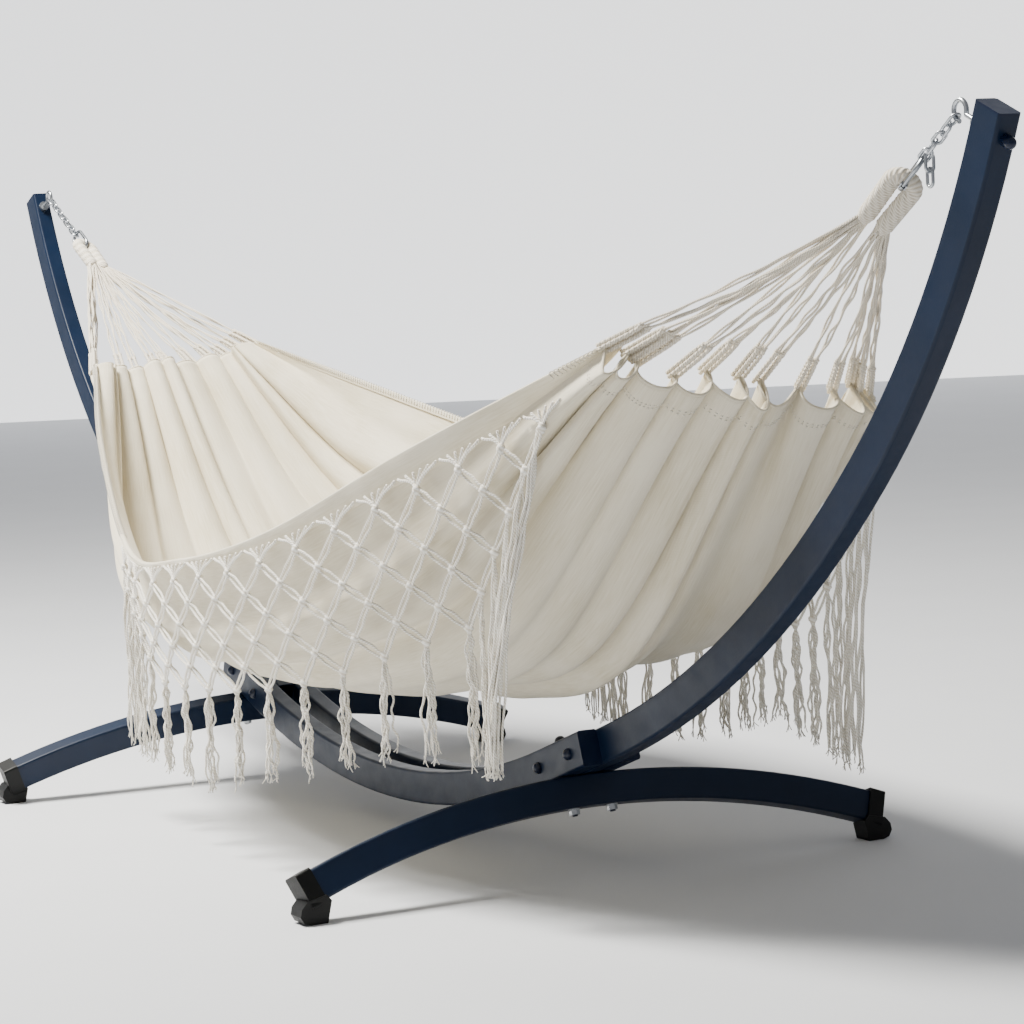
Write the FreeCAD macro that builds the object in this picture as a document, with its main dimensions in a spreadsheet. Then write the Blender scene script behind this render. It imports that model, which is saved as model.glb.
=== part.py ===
"""Hammock on a curved steel stand: every piece of the stand and of the hammock as its own solid.

Frame: origin on the floor under the middle of the stand, +X along the hammock, +Y across it, +Z up.
Lengths are in millimetres and angles in degrees.
"""
import FreeCAD, Part
import math
import os

import Sketcher
from FreeCAD import Placement, Rotation, Vector

# name: size. The stand is symmetric about both upright planes, so one side is enough.
SIZES = {
    # rectangular steel tube of the beam and the arms
    "tube_depth": 50, "tube_width": 30, "tube_wall": 1.5, "tube_corner": 4,
    # centreline of the beam and an arm, from the middle outwards
    "beam_height": 66, "keel_radius": 1620, "keel_angle": 18.66,
    "lap_inboard": 38, "lap_outboard": 130, "side_straight": 120,
    "arm_radius_low": 1746, "arm_angle_low": 25.43, "arm_radius_high": 1251, "arm_angle_high": 23.12,
    # arched cross feet
    "foot_depth": 45, "foot_width": 30, "foot_wall": 1.5, "foot_corner": 4,
    "foot_station": 42, "foot_radius": 1265, "foot_angle": 21.05, "foot_gap": 0.2, "washer_seat": 0.6,
    # fasteners: stations are measured along the straight lap from the end of the keel arc
    "bolt_inner": -9, "bolt_outer": 86, "bolt_shank": 4, "bolt_hole": 4.4, "dome_radius": 8.5,
    "cap_nut_length": 6, "nut_across": 13, "nut_height": 6.5, "washer_radius": 8.5, "washer_height": 1.6,
    # moulded end pieces
    "plug_face": 3, "plug_depth": 14, "plug_wall": 2.5,
    "sleeve_length": 20, "sleeve_wall": 3, "sleeve_end": 4, "sleeve_play": 0.6, "pad_width": 34, "pad_shift": 6,
    # open screw hooks near the arm tips
    "hook_below_tip": 27, "hook_reach": 40, "hook_radius": 12, "hook_wire": 3, "hook_sweep": 285,
    "hook_play": 0.3, "collar_radius": 9, "collar_height": 6, "cap_nut_radius": 7.5,
    # chain, carabiners
    "link_wire": 2, "link_pitch": 17, "link_inside": 7, "link_play": 0.3,
    "carabiner_length": 60, "carabiner_width": 32, "carabiner_wire": 3, "gate_wire": 2.5,
    "gate_gap": 30, "gate_play": 0.4, "gate_pin": 1, "gate_pin_hole": 1.06, "pin_reach": 1.7,
    "cheek": 1.4, "cheek_length": 7, "cheek_width": 4.6, "cheek_play": 0.3, "pivot_inset": 2,
    "line_slope_right": 33.7, "line_slope_left": 28.5, "line_roll_right": 45, "line_roll_left": 20,
    "links_right": 5, "links_left": 9, "links_tail": 2,
    # wrapped end loops, cords and tabs
    "loop_tube": 10, "loop_eye": 4.2, "loop_splay": 2, "loop_leg": 76,
    "cord_radius": 1.8, "cord_rows": 2.2, "cords_per_leg": 12, "tab_radius": 4, "tab_length": 60, "tab_gap": 6,
    # cloth
    "cloth_thickness": 3, "cloth_fullness": 2.9, "cloth_belly": 0.35,
    # extra belly of the near side, round one place along the bed
    "bulge": 0.45, "bulge_at": -0.6, "bulge_spread": 0.22,
    "net_thickness": 4, "net_gap": 2, "tassel_radius": 6,
}

# The cloth's rims and its lowest line, at even steps along the hammock from the left end to the right.
NEAR_RIM = [(-877, -158, 704), (-650, -240, 575), (-330, -320, 425), (31, -379, 439),
            (365, -376, 500), (690, -308, 622), (1020, -204, 749)]
FAR_RIM = [(-887, 153, 727), (-660, 260, 650), (-345, 370, 560), (31, 393, 510),
           (375, 370, 528), (705, 292, 587), (1015, 204, 663)]
KEEL = [(-925, 0, 690), (-593, 0, 345), (-263, 0, 254), (67, 0, 243),
        (397, 0, 254), (727, 0, 345), (1055, 0, 690)]
# height of the net's lower edge and of the tassel tips, at the same steps
NET_FOOT_NEAR = [560, 400, 251, 247, 283, 371, 479]
TIP_NEAR = [400, 255, 125, 105, 150, 200, 180]
NET_FOOT_FAR = [560, 430, 339, 289, 296, 339, 411]
TIP_FAR = [400, 245, 150, 100, 135, 195, 160]

# Where each fringe starts and ends along the bed, and its number of tassels.
FRINGE_NEAR = (-0.40, 0.93)
FRINGE_FAR = (-0.23, 0.97)
TASSELS = 14

# Outline of the pad moulded under a foot's end: outwards and up, from the end's own corner.
PAD_OUTLINE = [(-26, 0), (-2, 0), (8, 3), (13, 12), (11, 22), (2, 32), (-26, 38), (-33, 30)]

# Places along and across the cloth at which its shape is worked out.
STATIONS = 16
ACROSS = 12

X_AXIS = Vector(1, 0, 0)
Y_AXIS = Vector(0, 1, 0)
Z_AXIS = Vector(0, 0, 1)
HALF_TURN = Placement(Vector(), Rotation(Z_AXIS, 180))

doc = FreeCAD.newDocument("hammock_on_stand")
sheet = doc.addObject("Spreadsheet::Sheet", "Sizes")
parts = []


def fill_sheet():
    """Write every driving size into the sheet under its own name."""
    for row, (name, size) in enumerate(SIZES.items(), start=1):
        sheet.set(f"A{row}", name)
        sheet.set(f"B{row}", str(size))
        sheet.setAlias(f"B{row}", name)
    doc.recompute()


def size(name):
    """Return one driving size from the sheet."""
    return float(sheet.get(name))


def bind(thing, **expressions):
    """Tie properties of an object to the sheet."""
    for name, expression in expressions.items():
        thing.setExpression(name, expression)


def keep(thing, label):
    """Name a finished sub-part and list it for export."""
    thing.Label = label
    parts.append(thing)
    return thing


def turned(base, x_axis, z_axis):
    """Return the placement at base whose local X and Z point as given."""
    return Placement(base, Rotation(x_axis, z_axis.cross(x_axis), z_axis, "ZXY"))


# ---------------------------------------------------------------- primitives

def cylinder(name, radius, height, place):
    """Cylinder along its local Z."""
    thing = doc.addObject("Part::Cylinder", name)
    bind(thing, Radius=radius, Height=height)
    thing.Placement = place
    return thing


def box(name, long, wide, high, place):
    """Box centred on its local origin in Y and Z, starting at local X = 0."""
    thing = doc.addObject("Part::Box", name)
    bind(thing, Length=long, Width=wide, Height=high)
    doc.recompute()
    thing.Placement = place * Placement(Vector(0, -thing.Width.Value / 2, -thing.Height.Value / 2), Rotation())
    return thing


def half_ball(name, radius, place):
    """Dome standing on its local XY plane."""
    thing = doc.addObject("Part::Sphere", name)
    bind(thing, Radius=radius)
    thing.Angle1 = 0
    thing.Placement = place
    return thing


def hexagon(name, across, height, place):
    """Hexagonal prism along its local Z, sized across its flats."""
    thing = doc.addObject("Part::Prism", name)
    bind(thing, Circumradius=f"{across} / 2 / cos(30)", Height=height)
    thing.Placement = place
    return thing


def bend(name, radius, wire, sweep, place):
    """Piece of a ring in the local XY plane, starting on local X."""
    thing = doc.addObject("Part::Torus", name)
    bind(thing, Radius1=radius, Radius2=wire, Angle3=sweep)
    thing.Placement = place
    return thing


def fuse(name, shapes):
    """Join shapes into one solid."""
    thing = doc.addObject("Part::MultiFuse", name)
    thing.Shapes = shapes
    return thing


def cut(name, base, tool):
    """Take one shape from another."""
    thing = doc.addObject("Part::Cut", name)
    thing.Base = base
    thing.Tool = tool
    return thing


def group(name, shapes):
    """Keep several like solids together as one sub-part."""
    thing = doc.addObject("Part::Compound", name)
    thing.Links = shapes
    return thing


# ------------------------------------------------------------------ sketches

def plane_of(body, role):
    """Return one of a body's origin planes."""
    return next(f for f in body.Origin.OriginFeatures if f.Role == role)


def new_sketch(body, name, role):
    """Start a sketch on one of a body's origin planes."""
    sketch = body.newObject("Sketcher::SketchObject", name)
    sketch.AttachmentSupport = [(plane_of(body, role), "")]
    sketch.MapMode = "FlatFace"
    return sketch


def constrain(sketch, name, expression, *terms):
    """Add a named dimension tied to the sheet."""
    index = sketch.addConstraint(Sketcher.Constraint(*terms))
    sketch.renameConstraint(index, name)
    sketch.setExpression(f"Constraints.{name}", expression)


def rounded_rectangle(sketch, tag, wide, high, corner, values):
    """Draw a rectangle with round corners, centred on the sketch's origin."""
    half_w, half_h, r = values[0] / 2, values[1] / 2, values[2]
    ends = [((r - half_w, -half_h), (half_w - r, -half_h)), ((half_w, r - half_h), (half_w, half_h - r)),
            ((half_w - r, half_h), (r - half_w, half_h)), ((-half_w, half_h - r), (-half_w, r - half_h))]
    centres = [(half_w - r, r - half_h), (half_w - r, half_h - r), (r - half_w, half_h - r), (r - half_w, r - half_h)]
    lines = []
    arcs = []
    for index in range(4):
        start, end = ends[index]
        lines.append(sketch.addGeometry(Part.LineSegment(Vector(*start, 0), Vector(*end, 0))))
        ring = Part.Circle(Vector(*centres[index], 0), Z_AXIS, r)
        first = math.radians(90 * index - 90)
        arcs.append(sketch.addGeometry(Part.ArcOfCircle(ring, first, first + math.pi / 2)))
    for index in range(4):
        sketch.addConstraint(Sketcher.Constraint("Tangent", lines[index], 2, arcs[index], 1))
        sketch.addConstraint(Sketcher.Constraint("Tangent", arcs[index], 2, lines[(index + 1) % 4], 1))
        flat = "Horizontal" if index % 2 == 0 else "Vertical"
        sketch.addConstraint(Sketcher.Constraint(flat, lines[index]))
    for index in range(1, 4):
        sketch.addConstraint(Sketcher.Constraint("Equal", arcs[0], arcs[index]))
    sketch.addConstraint(Sketcher.Constraint("Symmetric", arcs[0], 3, arcs[2], 3, -1, 1))
    constrain(sketch, f"wide_{tag}", wide, "DistanceX", lines[3], 1, lines[1], 1, values[0])
    constrain(sketch, f"high_{tag}", high, "DistanceY", lines[0], 1, lines[2], 1, values[1])
    constrain(sketch, f"corner_{tag}", corner, "Radius", arcs[0], r)


def tube_path(body, straight, bends):
    """Draw a centreline on the body's XZ plane: a straight from the origin along X, then tangent arcs.

    straight is a size name or None; bends holds (radius name, angle name, +1 to turn up or -1 down).
    """
    sketch = new_sketch(body, body.Name + "_path", "XZ_Plane")
    point, heading, last, last_end = Vector(), 0.0, -1, 1
    if straight:
        run = size(straight)
        last = sketch.addGeometry(Part.LineSegment(point, Vector(run, 0, 0)))
        last_end = 2
        sketch.addConstraint(Sketcher.Constraint("Coincident", last, 1, -1, 1))
        sketch.addConstraint(Sketcher.Constraint("Horizontal", last))
        constrain(sketch, "straight", f"Sizes.{straight}", "Distance", last, run)
        point = Vector(run, 0, 0)
    for count, (radius, angle, side) in enumerate(bends):
        r, turn = size(radius), math.radians(size(angle))
        centre = point + Vector(-math.sin(heading), math.cos(heading), 0) * (side * r)
        first = heading - side * math.pi / 2
        span = (first, first + turn) if side > 0 else (first - turn, first)
        arc = sketch.addGeometry(Part.ArcOfCircle(Part.Circle(centre, Z_AXIS, r), *span))
        near_end, far_end = (1, 2) if side > 0 else (2, 1)
        if last < 0:
            sketch.addConstraint(Sketcher.Constraint("Coincident", arc, near_end, -1, 1))
            sketch.addConstraint(Sketcher.Constraint("PointOnObject", arc, 3, -2))
        else:
            sketch.addConstraint(Sketcher.Constraint("Tangent", last, last_end, arc, near_end))
        constrain(sketch, f"radius_{count}", f"Sizes.{radius}", "Radius", arc, r)
        constrain(sketch, f"angle_{count}", f"Sizes.{angle}", "Angle", arc, turn)
        last, last_end = arc, far_end
        heading += side * turn
        point = centre + Vector(math.sin(heading), -math.cos(heading), 0) * (side * r)
    return sketch


def tube(name, kind, straight, bends, place, mirrored, tail=None):
    """Sweep a hollow rectangular tube along its centreline; kind is tube or foot."""
    body = doc.addObject("PartDesign::Body", name)
    path = tube_path(body, straight, bends)
    if tail:
        end = path.Geometry[-1].EndPoint
        turn = math.radians(size(bends[-1][1]))
        run = size(tail)
        line = Part.LineSegment(end, end + Vector(math.cos(turn), math.sin(turn), 0) * run)
        index = path.addGeometry(line)
        path.addConstraint(Sketcher.Constraint("Tangent", index - 1, 2, index, 1))
        constrain(path, "tail", f"Sizes.{tail}", "Distance", index, run)
    profile = new_sketch(body, name + "_profile", "YZ_Plane")
    wide, high = size(kind + "_width"), size(kind + "_depth")
    wall, corner = size(kind + "_wall"), size(kind + "_corner")
    rounded_rectangle(profile, "outer", f"Sizes.{kind}_width", f"Sizes.{kind}_depth", f"Sizes.{kind}_corner",
                      (wide, high, corner))
    rounded_rectangle(profile, "inner", f"Sizes.{kind}_width - 2 * Sizes.{kind}_wall",
                      f"Sizes.{kind}_depth - 2 * Sizes.{kind}_wall", f"Sizes.{kind}_corner - Sizes.{kind}_wall",
                      (wide - 2 * wall, high - 2 * wall, corner - wall))
    doc.recompute()
    sweep = body.newObject("PartDesign::AdditivePipe", name + "_sweep")
    sweep.Profile = profile
    sweep.Spine = path
    doc.recompute()
    if mirrored:
        mirror = body.newObject("PartDesign::Mirrored", name + "_mirror")
        mirror.Originals = [sweep]
        mirror.MirrorPlane = (plane_of(body, "YZ_Plane"), [""])
        body.Tip = mirror
    body.Placement = place
    return body


# --------------------------------------------------------- stand centreline

def beam_frame(past_keel):
    """Frame on the straight lap of the right side: X outwards along the tube, Z off its upper face."""
    angle = size("keel_angle")
    turn = math.radians(angle)
    radius = size("keel_radius")
    end = Vector(radius * math.sin(turn), 0, size("beam_height") + radius * (1 - math.cos(turn)))
    along = Vector(math.cos(turn), 0, math.sin(turn))
    return Placement(end + along * past_keel, Rotation(Y_AXIS, -angle))


def arm_frame(below_tip):
    """Frame on the right arm's centreline: X towards the tip, Z off its inner face."""
    place = beam_frame(size("lap_outboard"))
    for radius, angle in (("arm_radius_low", "arm_angle_low"), ("arm_radius_high", "arm_angle_high")):
        turn = size(angle)
        if radius == "arm_radius_high":
            turn -= math.degrees(below_tip / size(radius))
        r = size(radius)
        step = Vector(r * math.sin(math.radians(turn)), 0, r * (1 - math.cos(math.radians(turn))))
        place = place * Placement(step, Rotation(Y_AXIS, -turn))
    return place


def foot_frame():
    """Frame at the middle of the right foot: X across the hammock (+Y), Z off the foot's top."""
    under = beam_frame(size("foot_station"))
    drop = size("tube_depth") / 2 + size("foot_depth") / 2 + size("foot_gap")
    place = under * Placement(Vector(0, 0, -drop), Rotation())
    return place * Placement(Vector(), Rotation(Z_AXIS, 90))


def foot_end_frame():
    """Frame at the far end of the right foot tube: X outwards along the tube."""
    turn = size("foot_angle")
    radius = size("foot_radius")
    step = Vector(radius * math.sin(math.radians(turn)), 0, -radius * (1 - math.cos(math.radians(turn))))
    return foot_frame() * Placement(step, Rotation(Y_AXIS, turn))


def both_sides(place):
    """Yield the two ends of the stand, right and left, with the same place on each."""
    yield "right", place
    yield "left", HALF_TURN * place


# ------------------------------------------------------------- stand pieces

def make_side_tubes():
    """Two keel tubes, one each side of the arms, drilled for the joint bolts and the foot bolts."""
    offset = size("tube_width")
    for side, sign in (("near", -1), ("far", 1)):
        place = Placement(Vector(0, sign * offset, size("beam_height")), Rotation())
        blank = tube("side_tube_blank_" + side, "tube", None, [("keel_radius", "keel_angle", 1)], place, True,
                     tail="side_straight")
        drills = joint_drills(side) + foot_drills(side, sign)
        keep(cut("drilled_side_" + side, blank, fuse("side_drills_" + side, drills)), "side_tube_" + side)


def joint_drills(tag):
    """Cylinders for the holes of the four joint bolts, along Y."""
    drills = []
    for station in ("bolt_inner", "bolt_outer"):
        start = Placement(Vector(0, -2 * size("tube_width"), 0), Rotation(X_AXIS, -90))
        for end, place in both_sides(beam_frame(size(station)) * start):
            name = f"drill_{station}_{end}_{tag}"
            drills.append(cylinder(name, "Sizes.bolt_hole", "4 * Sizes.tube_width", place))
    return drills


def foot_drills(tag, sign):
    """Cylinders for the holes of the foot bolts, square to the beam, on one side of the arms."""
    drills = []
    reach = size("tube_depth") + size("foot_depth")
    start = Placement(Vector(0, sign * size("tube_width"), -reach), Rotation())
    mirrored = Placement(Vector(0, -sign * size("tube_width"), -reach), Rotation())
    for end, offset in (("right", start), ("left", mirrored)):
        place = beam_frame(size("foot_station")) * offset
        if end == "left":
            place = HALF_TURN * place
        name = f"drill_foot_{end}_{tag}"
        drills.append(cylinder(name, "Sizes.bolt_hole", "2 * (Sizes.tube_depth + Sizes.foot_depth)", place))
    return drills


def make_arms():
    """Two bent arms, each clamped between the side tubes at its lower end."""
    start = beam_frame(-size("lap_inboard"))
    sheet.set("D1", "=lap_inboard + lap_outboard")
    sheet.setAlias("D1", "arm_lap")
    doc.recompute()
    bends = [("arm_radius_low", "arm_angle_low", 1), ("arm_radius_high", "arm_angle_high", 1)]
    for end, place in both_sides(start):
        blank = tube("arm_blank_" + end, "tube", "arm_lap", bends, place, False)
        drills = joint_drills("arm_" + end)
        across = arm_frame(size("hook_below_tip"))
        if end == "left":
            across = HALF_TURN * across
        through = across * Placement(Vector(0, 0, -size("tube_depth")), Rotation())
        drills.append(cylinder("drill_hook_" + end, "Sizes.bolt_hole", "2 * Sizes.tube_depth", through))
        keep(cut("drilled_arm_" + end, blank, fuse("arm_drills_" + end, drills)), "arm_" + end)


def plug(name, place):
    """Plastic plug for a tube's end: a face plate and a hollow stub that grips the bore."""
    inside = "2 * (Sizes.tube_wall + 0.1)"
    plate = box(name + "_plate", "Sizes.plug_face", "Sizes.tube_width", "Sizes.tube_depth", place)
    stub_place = place * Placement(Vector(0, 0, 0), Rotation(Z_AXIS, 180))
    stub = box(name + "_stub", "Sizes.plug_depth", f"Sizes.tube_width - {inside}", f"Sizes.tube_depth - {inside}",
               stub_place)
    plate_round = round_long_edges(name + "_plate_round", plate, "Sizes.tube_corner")
    stub_round = round_long_edges(name + "_stub_round", stub, "Sizes.tube_corner - Sizes.tube_wall")
    hollow_place = place * Placement(Vector(-size("plug_depth") - 1, 0, 0), Rotation())
    hollow = box(name + "_hollow", "Sizes.plug_depth + 1", f"Sizes.tube_width - {inside} - 2 * Sizes.plug_wall",
                 f"Sizes.tube_depth - {inside} - 2 * Sizes.plug_wall", hollow_place)
    return cut(name, fuse(name + "_solid", [plate_round, stub_round]), hollow)


def round_long_edges(name, block, radius):
    """Round the four edges of a box that run along its local X."""
    doc.recompute()
    along = block.Placement.Rotation.multVec(X_AXIS)
    thing = doc.addObject("Part::Fillet", name)
    thing.Base = block
    edges = []
    for index, edge in enumerate(block.Shape.Edges, start=1):
        direction = (edge.Vertexes[1].Point - edge.Vertexes[0].Point).normalize()
        if abs(abs(direction.dot(along)) - 1) < 1e-6:
            edges.append((index, corner_value(radius), corner_value(radius)))
    thing.Edges = edges
    return thing


def corner_value(expression):
    """Work out a corner radius written as one size or as the difference of two."""
    names = [part.strip().replace("Sizes.", "") for part in expression.split("-")]
    return size(names[0]) - sum(size(name) for name in names[1:])


def make_plugs():
    """Caps on the arm tips and on the four ends of the side tubes."""
    for end, place in both_sides(arm_frame(0)):
        keep(plug("arm_cap_solid_" + end, place), "arm_cap_" + end)
    tail = beam_frame(size("side_straight"))
    for side, sign in (("near", -1), ("far", 1)):
        pair = []
        for end in ("right", "left"):
            offset = Placement(Vector(0, (sign if end == "right" else -sign) * size("tube_width"), 0), Rotation())
            place = tail * offset
            if end == "left":
                place = HALF_TURN * place
            pair.append(plug(f"side_plug_{side}_{end}", place))
        keep(group("side_plugs_" + side, pair), "side_tube_plugs_" + side)


def make_feet():
    """Two arched feet, each drilled for its pair of bolts."""
    for end, place in both_sides(foot_frame()):
        blank = tube("foot_blank_" + end, "foot", None, [("foot_radius", "foot_angle", -1)], place, True)
        drills = foot_drills("a_foot_" + end, -1) + foot_drills("b_foot_" + end, 1)
        keep(cut("drilled_foot_" + end, blank, fuse("foot_drill_set_" + end, drills)), "foot_tube_" + end)


def pad_block(name):
    """Pad under a foot's end: flat below, a round lobe outwards and a wedge inwards; X points outwards."""
    body = doc.addObject("PartDesign::Body", name)
    sketch = new_sketch(body, name + "_outline", "XZ_Plane")
    corners = [Vector(x, z, 0) for x, z in PAD_OUTLINE]
    for start, end in zip(corners, corners[1:] + corners[:1]):
        sketch.addGeometry(Part.LineSegment(start, end))
    for index in range(len(corners)):
        sketch.addConstraint(Sketcher.Constraint("Coincident", index, 2, (index + 1) % len(corners), 1))
        sketch.addConstraint(Sketcher.Constraint("Block", index))
    pad = body.newObject("PartDesign::Pad", name + "_pad")
    pad.Profile = sketch
    pad.Midplane = True
    bind(pad, Length="Sizes.pad_width")
    return body


def make_foot_caps():
    """Plastic shoes on the four foot ends: a sleeve over the tube with a pad moulded under it."""
    tip = foot_end_frame()
    for end in ("right", "left"):
        for side in ("near", "far"):
            name = f"foot_cap_{end}_{side}"
            keep(foot_cap(name, tip, end, side == "near"), name)


def foot_cap(name, tip, end, mirror_y):
    """Build the shoe at the right foot's far end, then mirror it to the end that it belongs to."""
    play = "2 * Sizes.sleeve_play"
    wall = "2 * (Sizes.sleeve_wall + Sizes.sleeve_play)"
    start = tip * Placement(Vector(-size("sleeve_length"), 0, 0), Rotation())
    shell = box(name + "_shell", "Sizes.sleeve_length + Sizes.sleeve_end", f"Sizes.foot_width + {wall}",
                f"Sizes.foot_depth + {wall}", start)
    bore_start = tip * Placement(Vector(-70, 0, 0), Rotation())
    bore = box(name + "_bore", "70 + Sizes.sleeve_play", f"Sizes.foot_width + {play}", f"Sizes.foot_depth + {play}",
               bore_start)
    pad = pad_block(name + "_pad_block")
    ground = Vector(tip.Base.x + size("pad_shift"), tip.Base.y, 0)
    pad.Placement = Placement(ground, Rotation(Z_AXIS, 90))
    whole = fuse(name + "_outer", [round_long_edges(name + "_shell_round", shell, "Sizes.foot_corner"), pad])
    shoe = cut(name + "_shoe", whole, bore)
    if end == "right" and not mirror_y:
        return shoe
    if end == "left" and mirror_y:
        shoe.Placement = HALF_TURN
        return shoe
    flipped = doc.addObject("Part::Mirroring", name + "_mirror")
    flipped.Source = shoe
    flipped.Normal = Y_AXIS if mirror_y else X_AXIS
    return flipped


def make_joint_bolts():
    """Bolts across each joint: domed heads on the near side and cap nuts on the far side."""
    half = 1.5 * size("tube_width")
    for end in ("right", "left"):
        bolts = []
        nuts = []
        for station in ("bolt_inner", "bolt_outer"):
            spot = beam_frame(size(station))
            if end == "left":
                spot = HALF_TURN * spot
            middle = spot.Base
            tag = f"{station}_{end}"
            head_at = Placement(Vector(middle.x, -half, middle.z), Rotation(X_AXIS, 90))
            shank_at = Placement(Vector(middle.x, -half, middle.z), Rotation(X_AXIS, -90))
            nut_at = Placement(Vector(middle.x, half, middle.z), Rotation(X_AXIS, -90))
            shank = cylinder("shank_" + tag, "Sizes.bolt_shank", "3 * Sizes.tube_width + 5", shank_at)
            bolts.append(fuse("joint_bolt_" + tag, [half_ball("head_" + tag, "Sizes.dome_radius", head_at), shank]))
            base = hexagon("nut_base_" + tag, "Sizes.nut_across + 2", "Sizes.cap_nut_length", nut_at)
            cap_at = nut_at * Placement(Vector(0, 0, size("cap_nut_length")), Rotation())
            cap = half_ball("nut_cap_" + tag, "Sizes.nut_across / 2", cap_at)
            bore = cylinder("nut_bore_" + tag, "Sizes.bolt_shank + 0.05", "Sizes.cap_nut_length", nut_at)
            nuts.append(cut("cap_nut_" + tag, fuse("nut_body_" + tag, [base, cap]), bore))
        keep(group("joint_bolts_" + end, bolts), "joint_bolts_" + end)
        keep(group("joint_nuts_" + end, nuts), "joint_nuts_" + end)


def make_foot_bolts():
    """Bolts down through the side tubes and each foot, with washers and plain nuts below."""
    top = size("tube_depth") / 2
    bottom = -size("tube_depth") / 2 - size("foot_gap") - size("foot_depth") - size("washer_seat")
    for end in ("right", "left"):
        bolts = []
        nuts = []
        for side, y in (("near", -size("tube_width")), ("far", size("tube_width"))):
            spot = beam_frame(size("foot_station"))
            if end == "left":
                spot = HALF_TURN * spot
                y = -y
            tag = f"foot_{end}_{side}"
            head_at = spot * Placement(Vector(0, y, top), Rotation())
            foot_at = spot * Placement(Vector(0, y, bottom), Rotation(X_AXIS, 180))
            shank_at = spot * Placement(Vector(0, y, top), Rotation(X_AXIS, 180))
            length = "Sizes.tube_depth + Sizes.foot_depth + Sizes.nut_height + Sizes.washer_height + 3"
            shank = cylinder("shank_" + tag, "Sizes.bolt_shank", length, shank_at)
            bolts.append(fuse("bolt_" + tag, [half_ball("head_" + tag, "Sizes.dome_radius", head_at), shank]))
            washer = cylinder("washer_" + tag, "Sizes.washer_radius", "Sizes.washer_height", foot_at)
            nut_at = foot_at * Placement(Vector(0, 0, size("washer_height")), Rotation())
            nut = hexagon("hex_" + tag, "Sizes.nut_across", "Sizes.nut_height", nut_at)
            bore = cylinder("bore_" + tag, "Sizes.bolt_shank + 0.05", "Sizes.nut_height + Sizes.washer_height", foot_at)
            nuts.append(cut("nut_" + tag, fuse("nut_washer_" + tag, [washer, nut]), bore))
        keep(group("foot_bolts_" + end, bolts), "foot_bolts_" + end)
        keep(group("foot_nuts_" + end, nuts), "foot_nuts_" + end)


def ring_centre_frame():
    """Frame at the middle of the right hook's ring: X towards the tip, Z away from the arm."""
    reach = size("tube_depth") / 2 + size("hook_reach")
    return arm_frame(size("hook_below_tip")) * Placement(Vector(0, 0, reach), Rotation())


def make_hooks():
    """Open screw hooks through the arm tips, with a collar inside and a cap nut outside."""
    centre = ring_centre_frame()
    face = size("tube_depth") / 2
    for end, place in both_sides(centre):
        root = place * Placement(Vector(0, 0, -size("hook_reach") - face), Rotation())
        ring_at = place * turned(Vector(), Vector(0, 0, -1), Vector(0, -1, 0))
        ring = bend("ring_" + end, "Sizes.hook_radius", "Sizes.hook_wire", "Sizes.hook_sweep", ring_at)
        shank_at = root * Placement(Vector(0, 0, -face - 8), Rotation())
        long = "Sizes.tube_depth + 8 + Sizes.hook_reach - Sizes.hook_radius"
        shank = cylinder("hook_shank_" + end, "Sizes.hook_wire", long, shank_at)
        keep(fuse("hook_" + end + "_solid", [ring, shank]), "hook_" + end)
        inner_at = root * Placement(Vector(0, 0, face + size("washer_seat")), Rotation())
        collar = cylinder("collar_" + end, "Sizes.collar_radius", "Sizes.collar_height", inner_at)
        hole = cylinder("collar_hole_" + end, "Sizes.hook_wire + 0.05", "Sizes.collar_height", inner_at)
        keep(cut("hook_collar_solid_" + end, collar, hole), "hook_collar_" + end)
        outer_at = root * Placement(Vector(0, 0, -face), Rotation(X_AXIS, 180))
        base = cylinder("outer_base_" + end, "Sizes.cap_nut_radius", "9", outer_at)
        dome_at = outer_at * Placement(Vector(0, 0, 9), Rotation())
        dome = half_ball("outer_dome_" + end, "Sizes.cap_nut_radius", dome_at)
        bore = cylinder("outer_bore_" + end, "Sizes.hook_wire + 0.05", "9", outer_at)
        keep(cut("hook_nut_solid_" + end, fuse("outer_" + end, [base, dome]), bore), "hook_nut_" + end)


# -------------------------------------------------------------- suspension

def line_frame(end):
    """Frame of one taut suspension line: origin in the hook's ring, X along the pull, Z upwards."""
    slope = size("line_slope_" + end)
    start = ring_centre_frame().Base
    right = Placement(start, Rotation(Y_AXIS, 180 - slope) * Rotation(X_AXIS, 180))
    if end == "right":
        return right
    return HALF_TURN * right


def link(name, place):
    """Chain link: two half rings and two straight sides, long along local X, flat in local XY."""
    mean = "Sizes.link_inside / 2 + Sizes.link_wire"
    side = size("link_inside") / 2 + size("link_wire")
    run = size("link_pitch") - size("link_inside")
    run_text = "Sizes.link_pitch - Sizes.link_inside"
    shapes = []
    for tag, sign in (("a", 1), ("b", -1)):
        turn = place * Placement(Vector(sign * run / 2, 0, 0), Rotation(Z_AXIS, -90 * sign))
        shapes.append(bend(f"{name}_bend_{tag}", mean, "Sizes.link_wire", "180", turn))
        bar = place * Placement(Vector(-run / 2, sign * side, 0), Rotation(Y_AXIS, 90))
        shapes.append(cylinder(f"{name}_bar_{tag}", "Sizes.link_wire", run_text, bar))
    return fuse(name, shapes)


def link_step():
    """Distance between the middles of two taut neighbouring links."""
    return size("link_pitch") - size("link_play")


def first_link():
    """Distance from the hook's ring centre to the middle of the first link."""
    inside = size("hook_radius") - size("hook_wire") - size("link_wire") - size("hook_play")
    return inside + size("link_pitch") / 2 + size("link_wire")


def carabiner_centre(end):
    """Distance from the hook's ring centre to the middle of the carabiner."""
    last = first_link() + (size("links_" + end) - 1) * link_step()
    bow = last + size("link_pitch") / 2 - size("carabiner_wire") - size("link_play")
    return bow + size("carabiner_length") / 2 - size("carabiner_wire")


def rolled(end, fraction):
    """Roll about the line, turned in by a fraction of the twist that this end hangs with."""
    sign = 1 if end == "right" else -1
    return Rotation(X_AXIS, sign * size("line_roll_" + end) * fraction)


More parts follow.
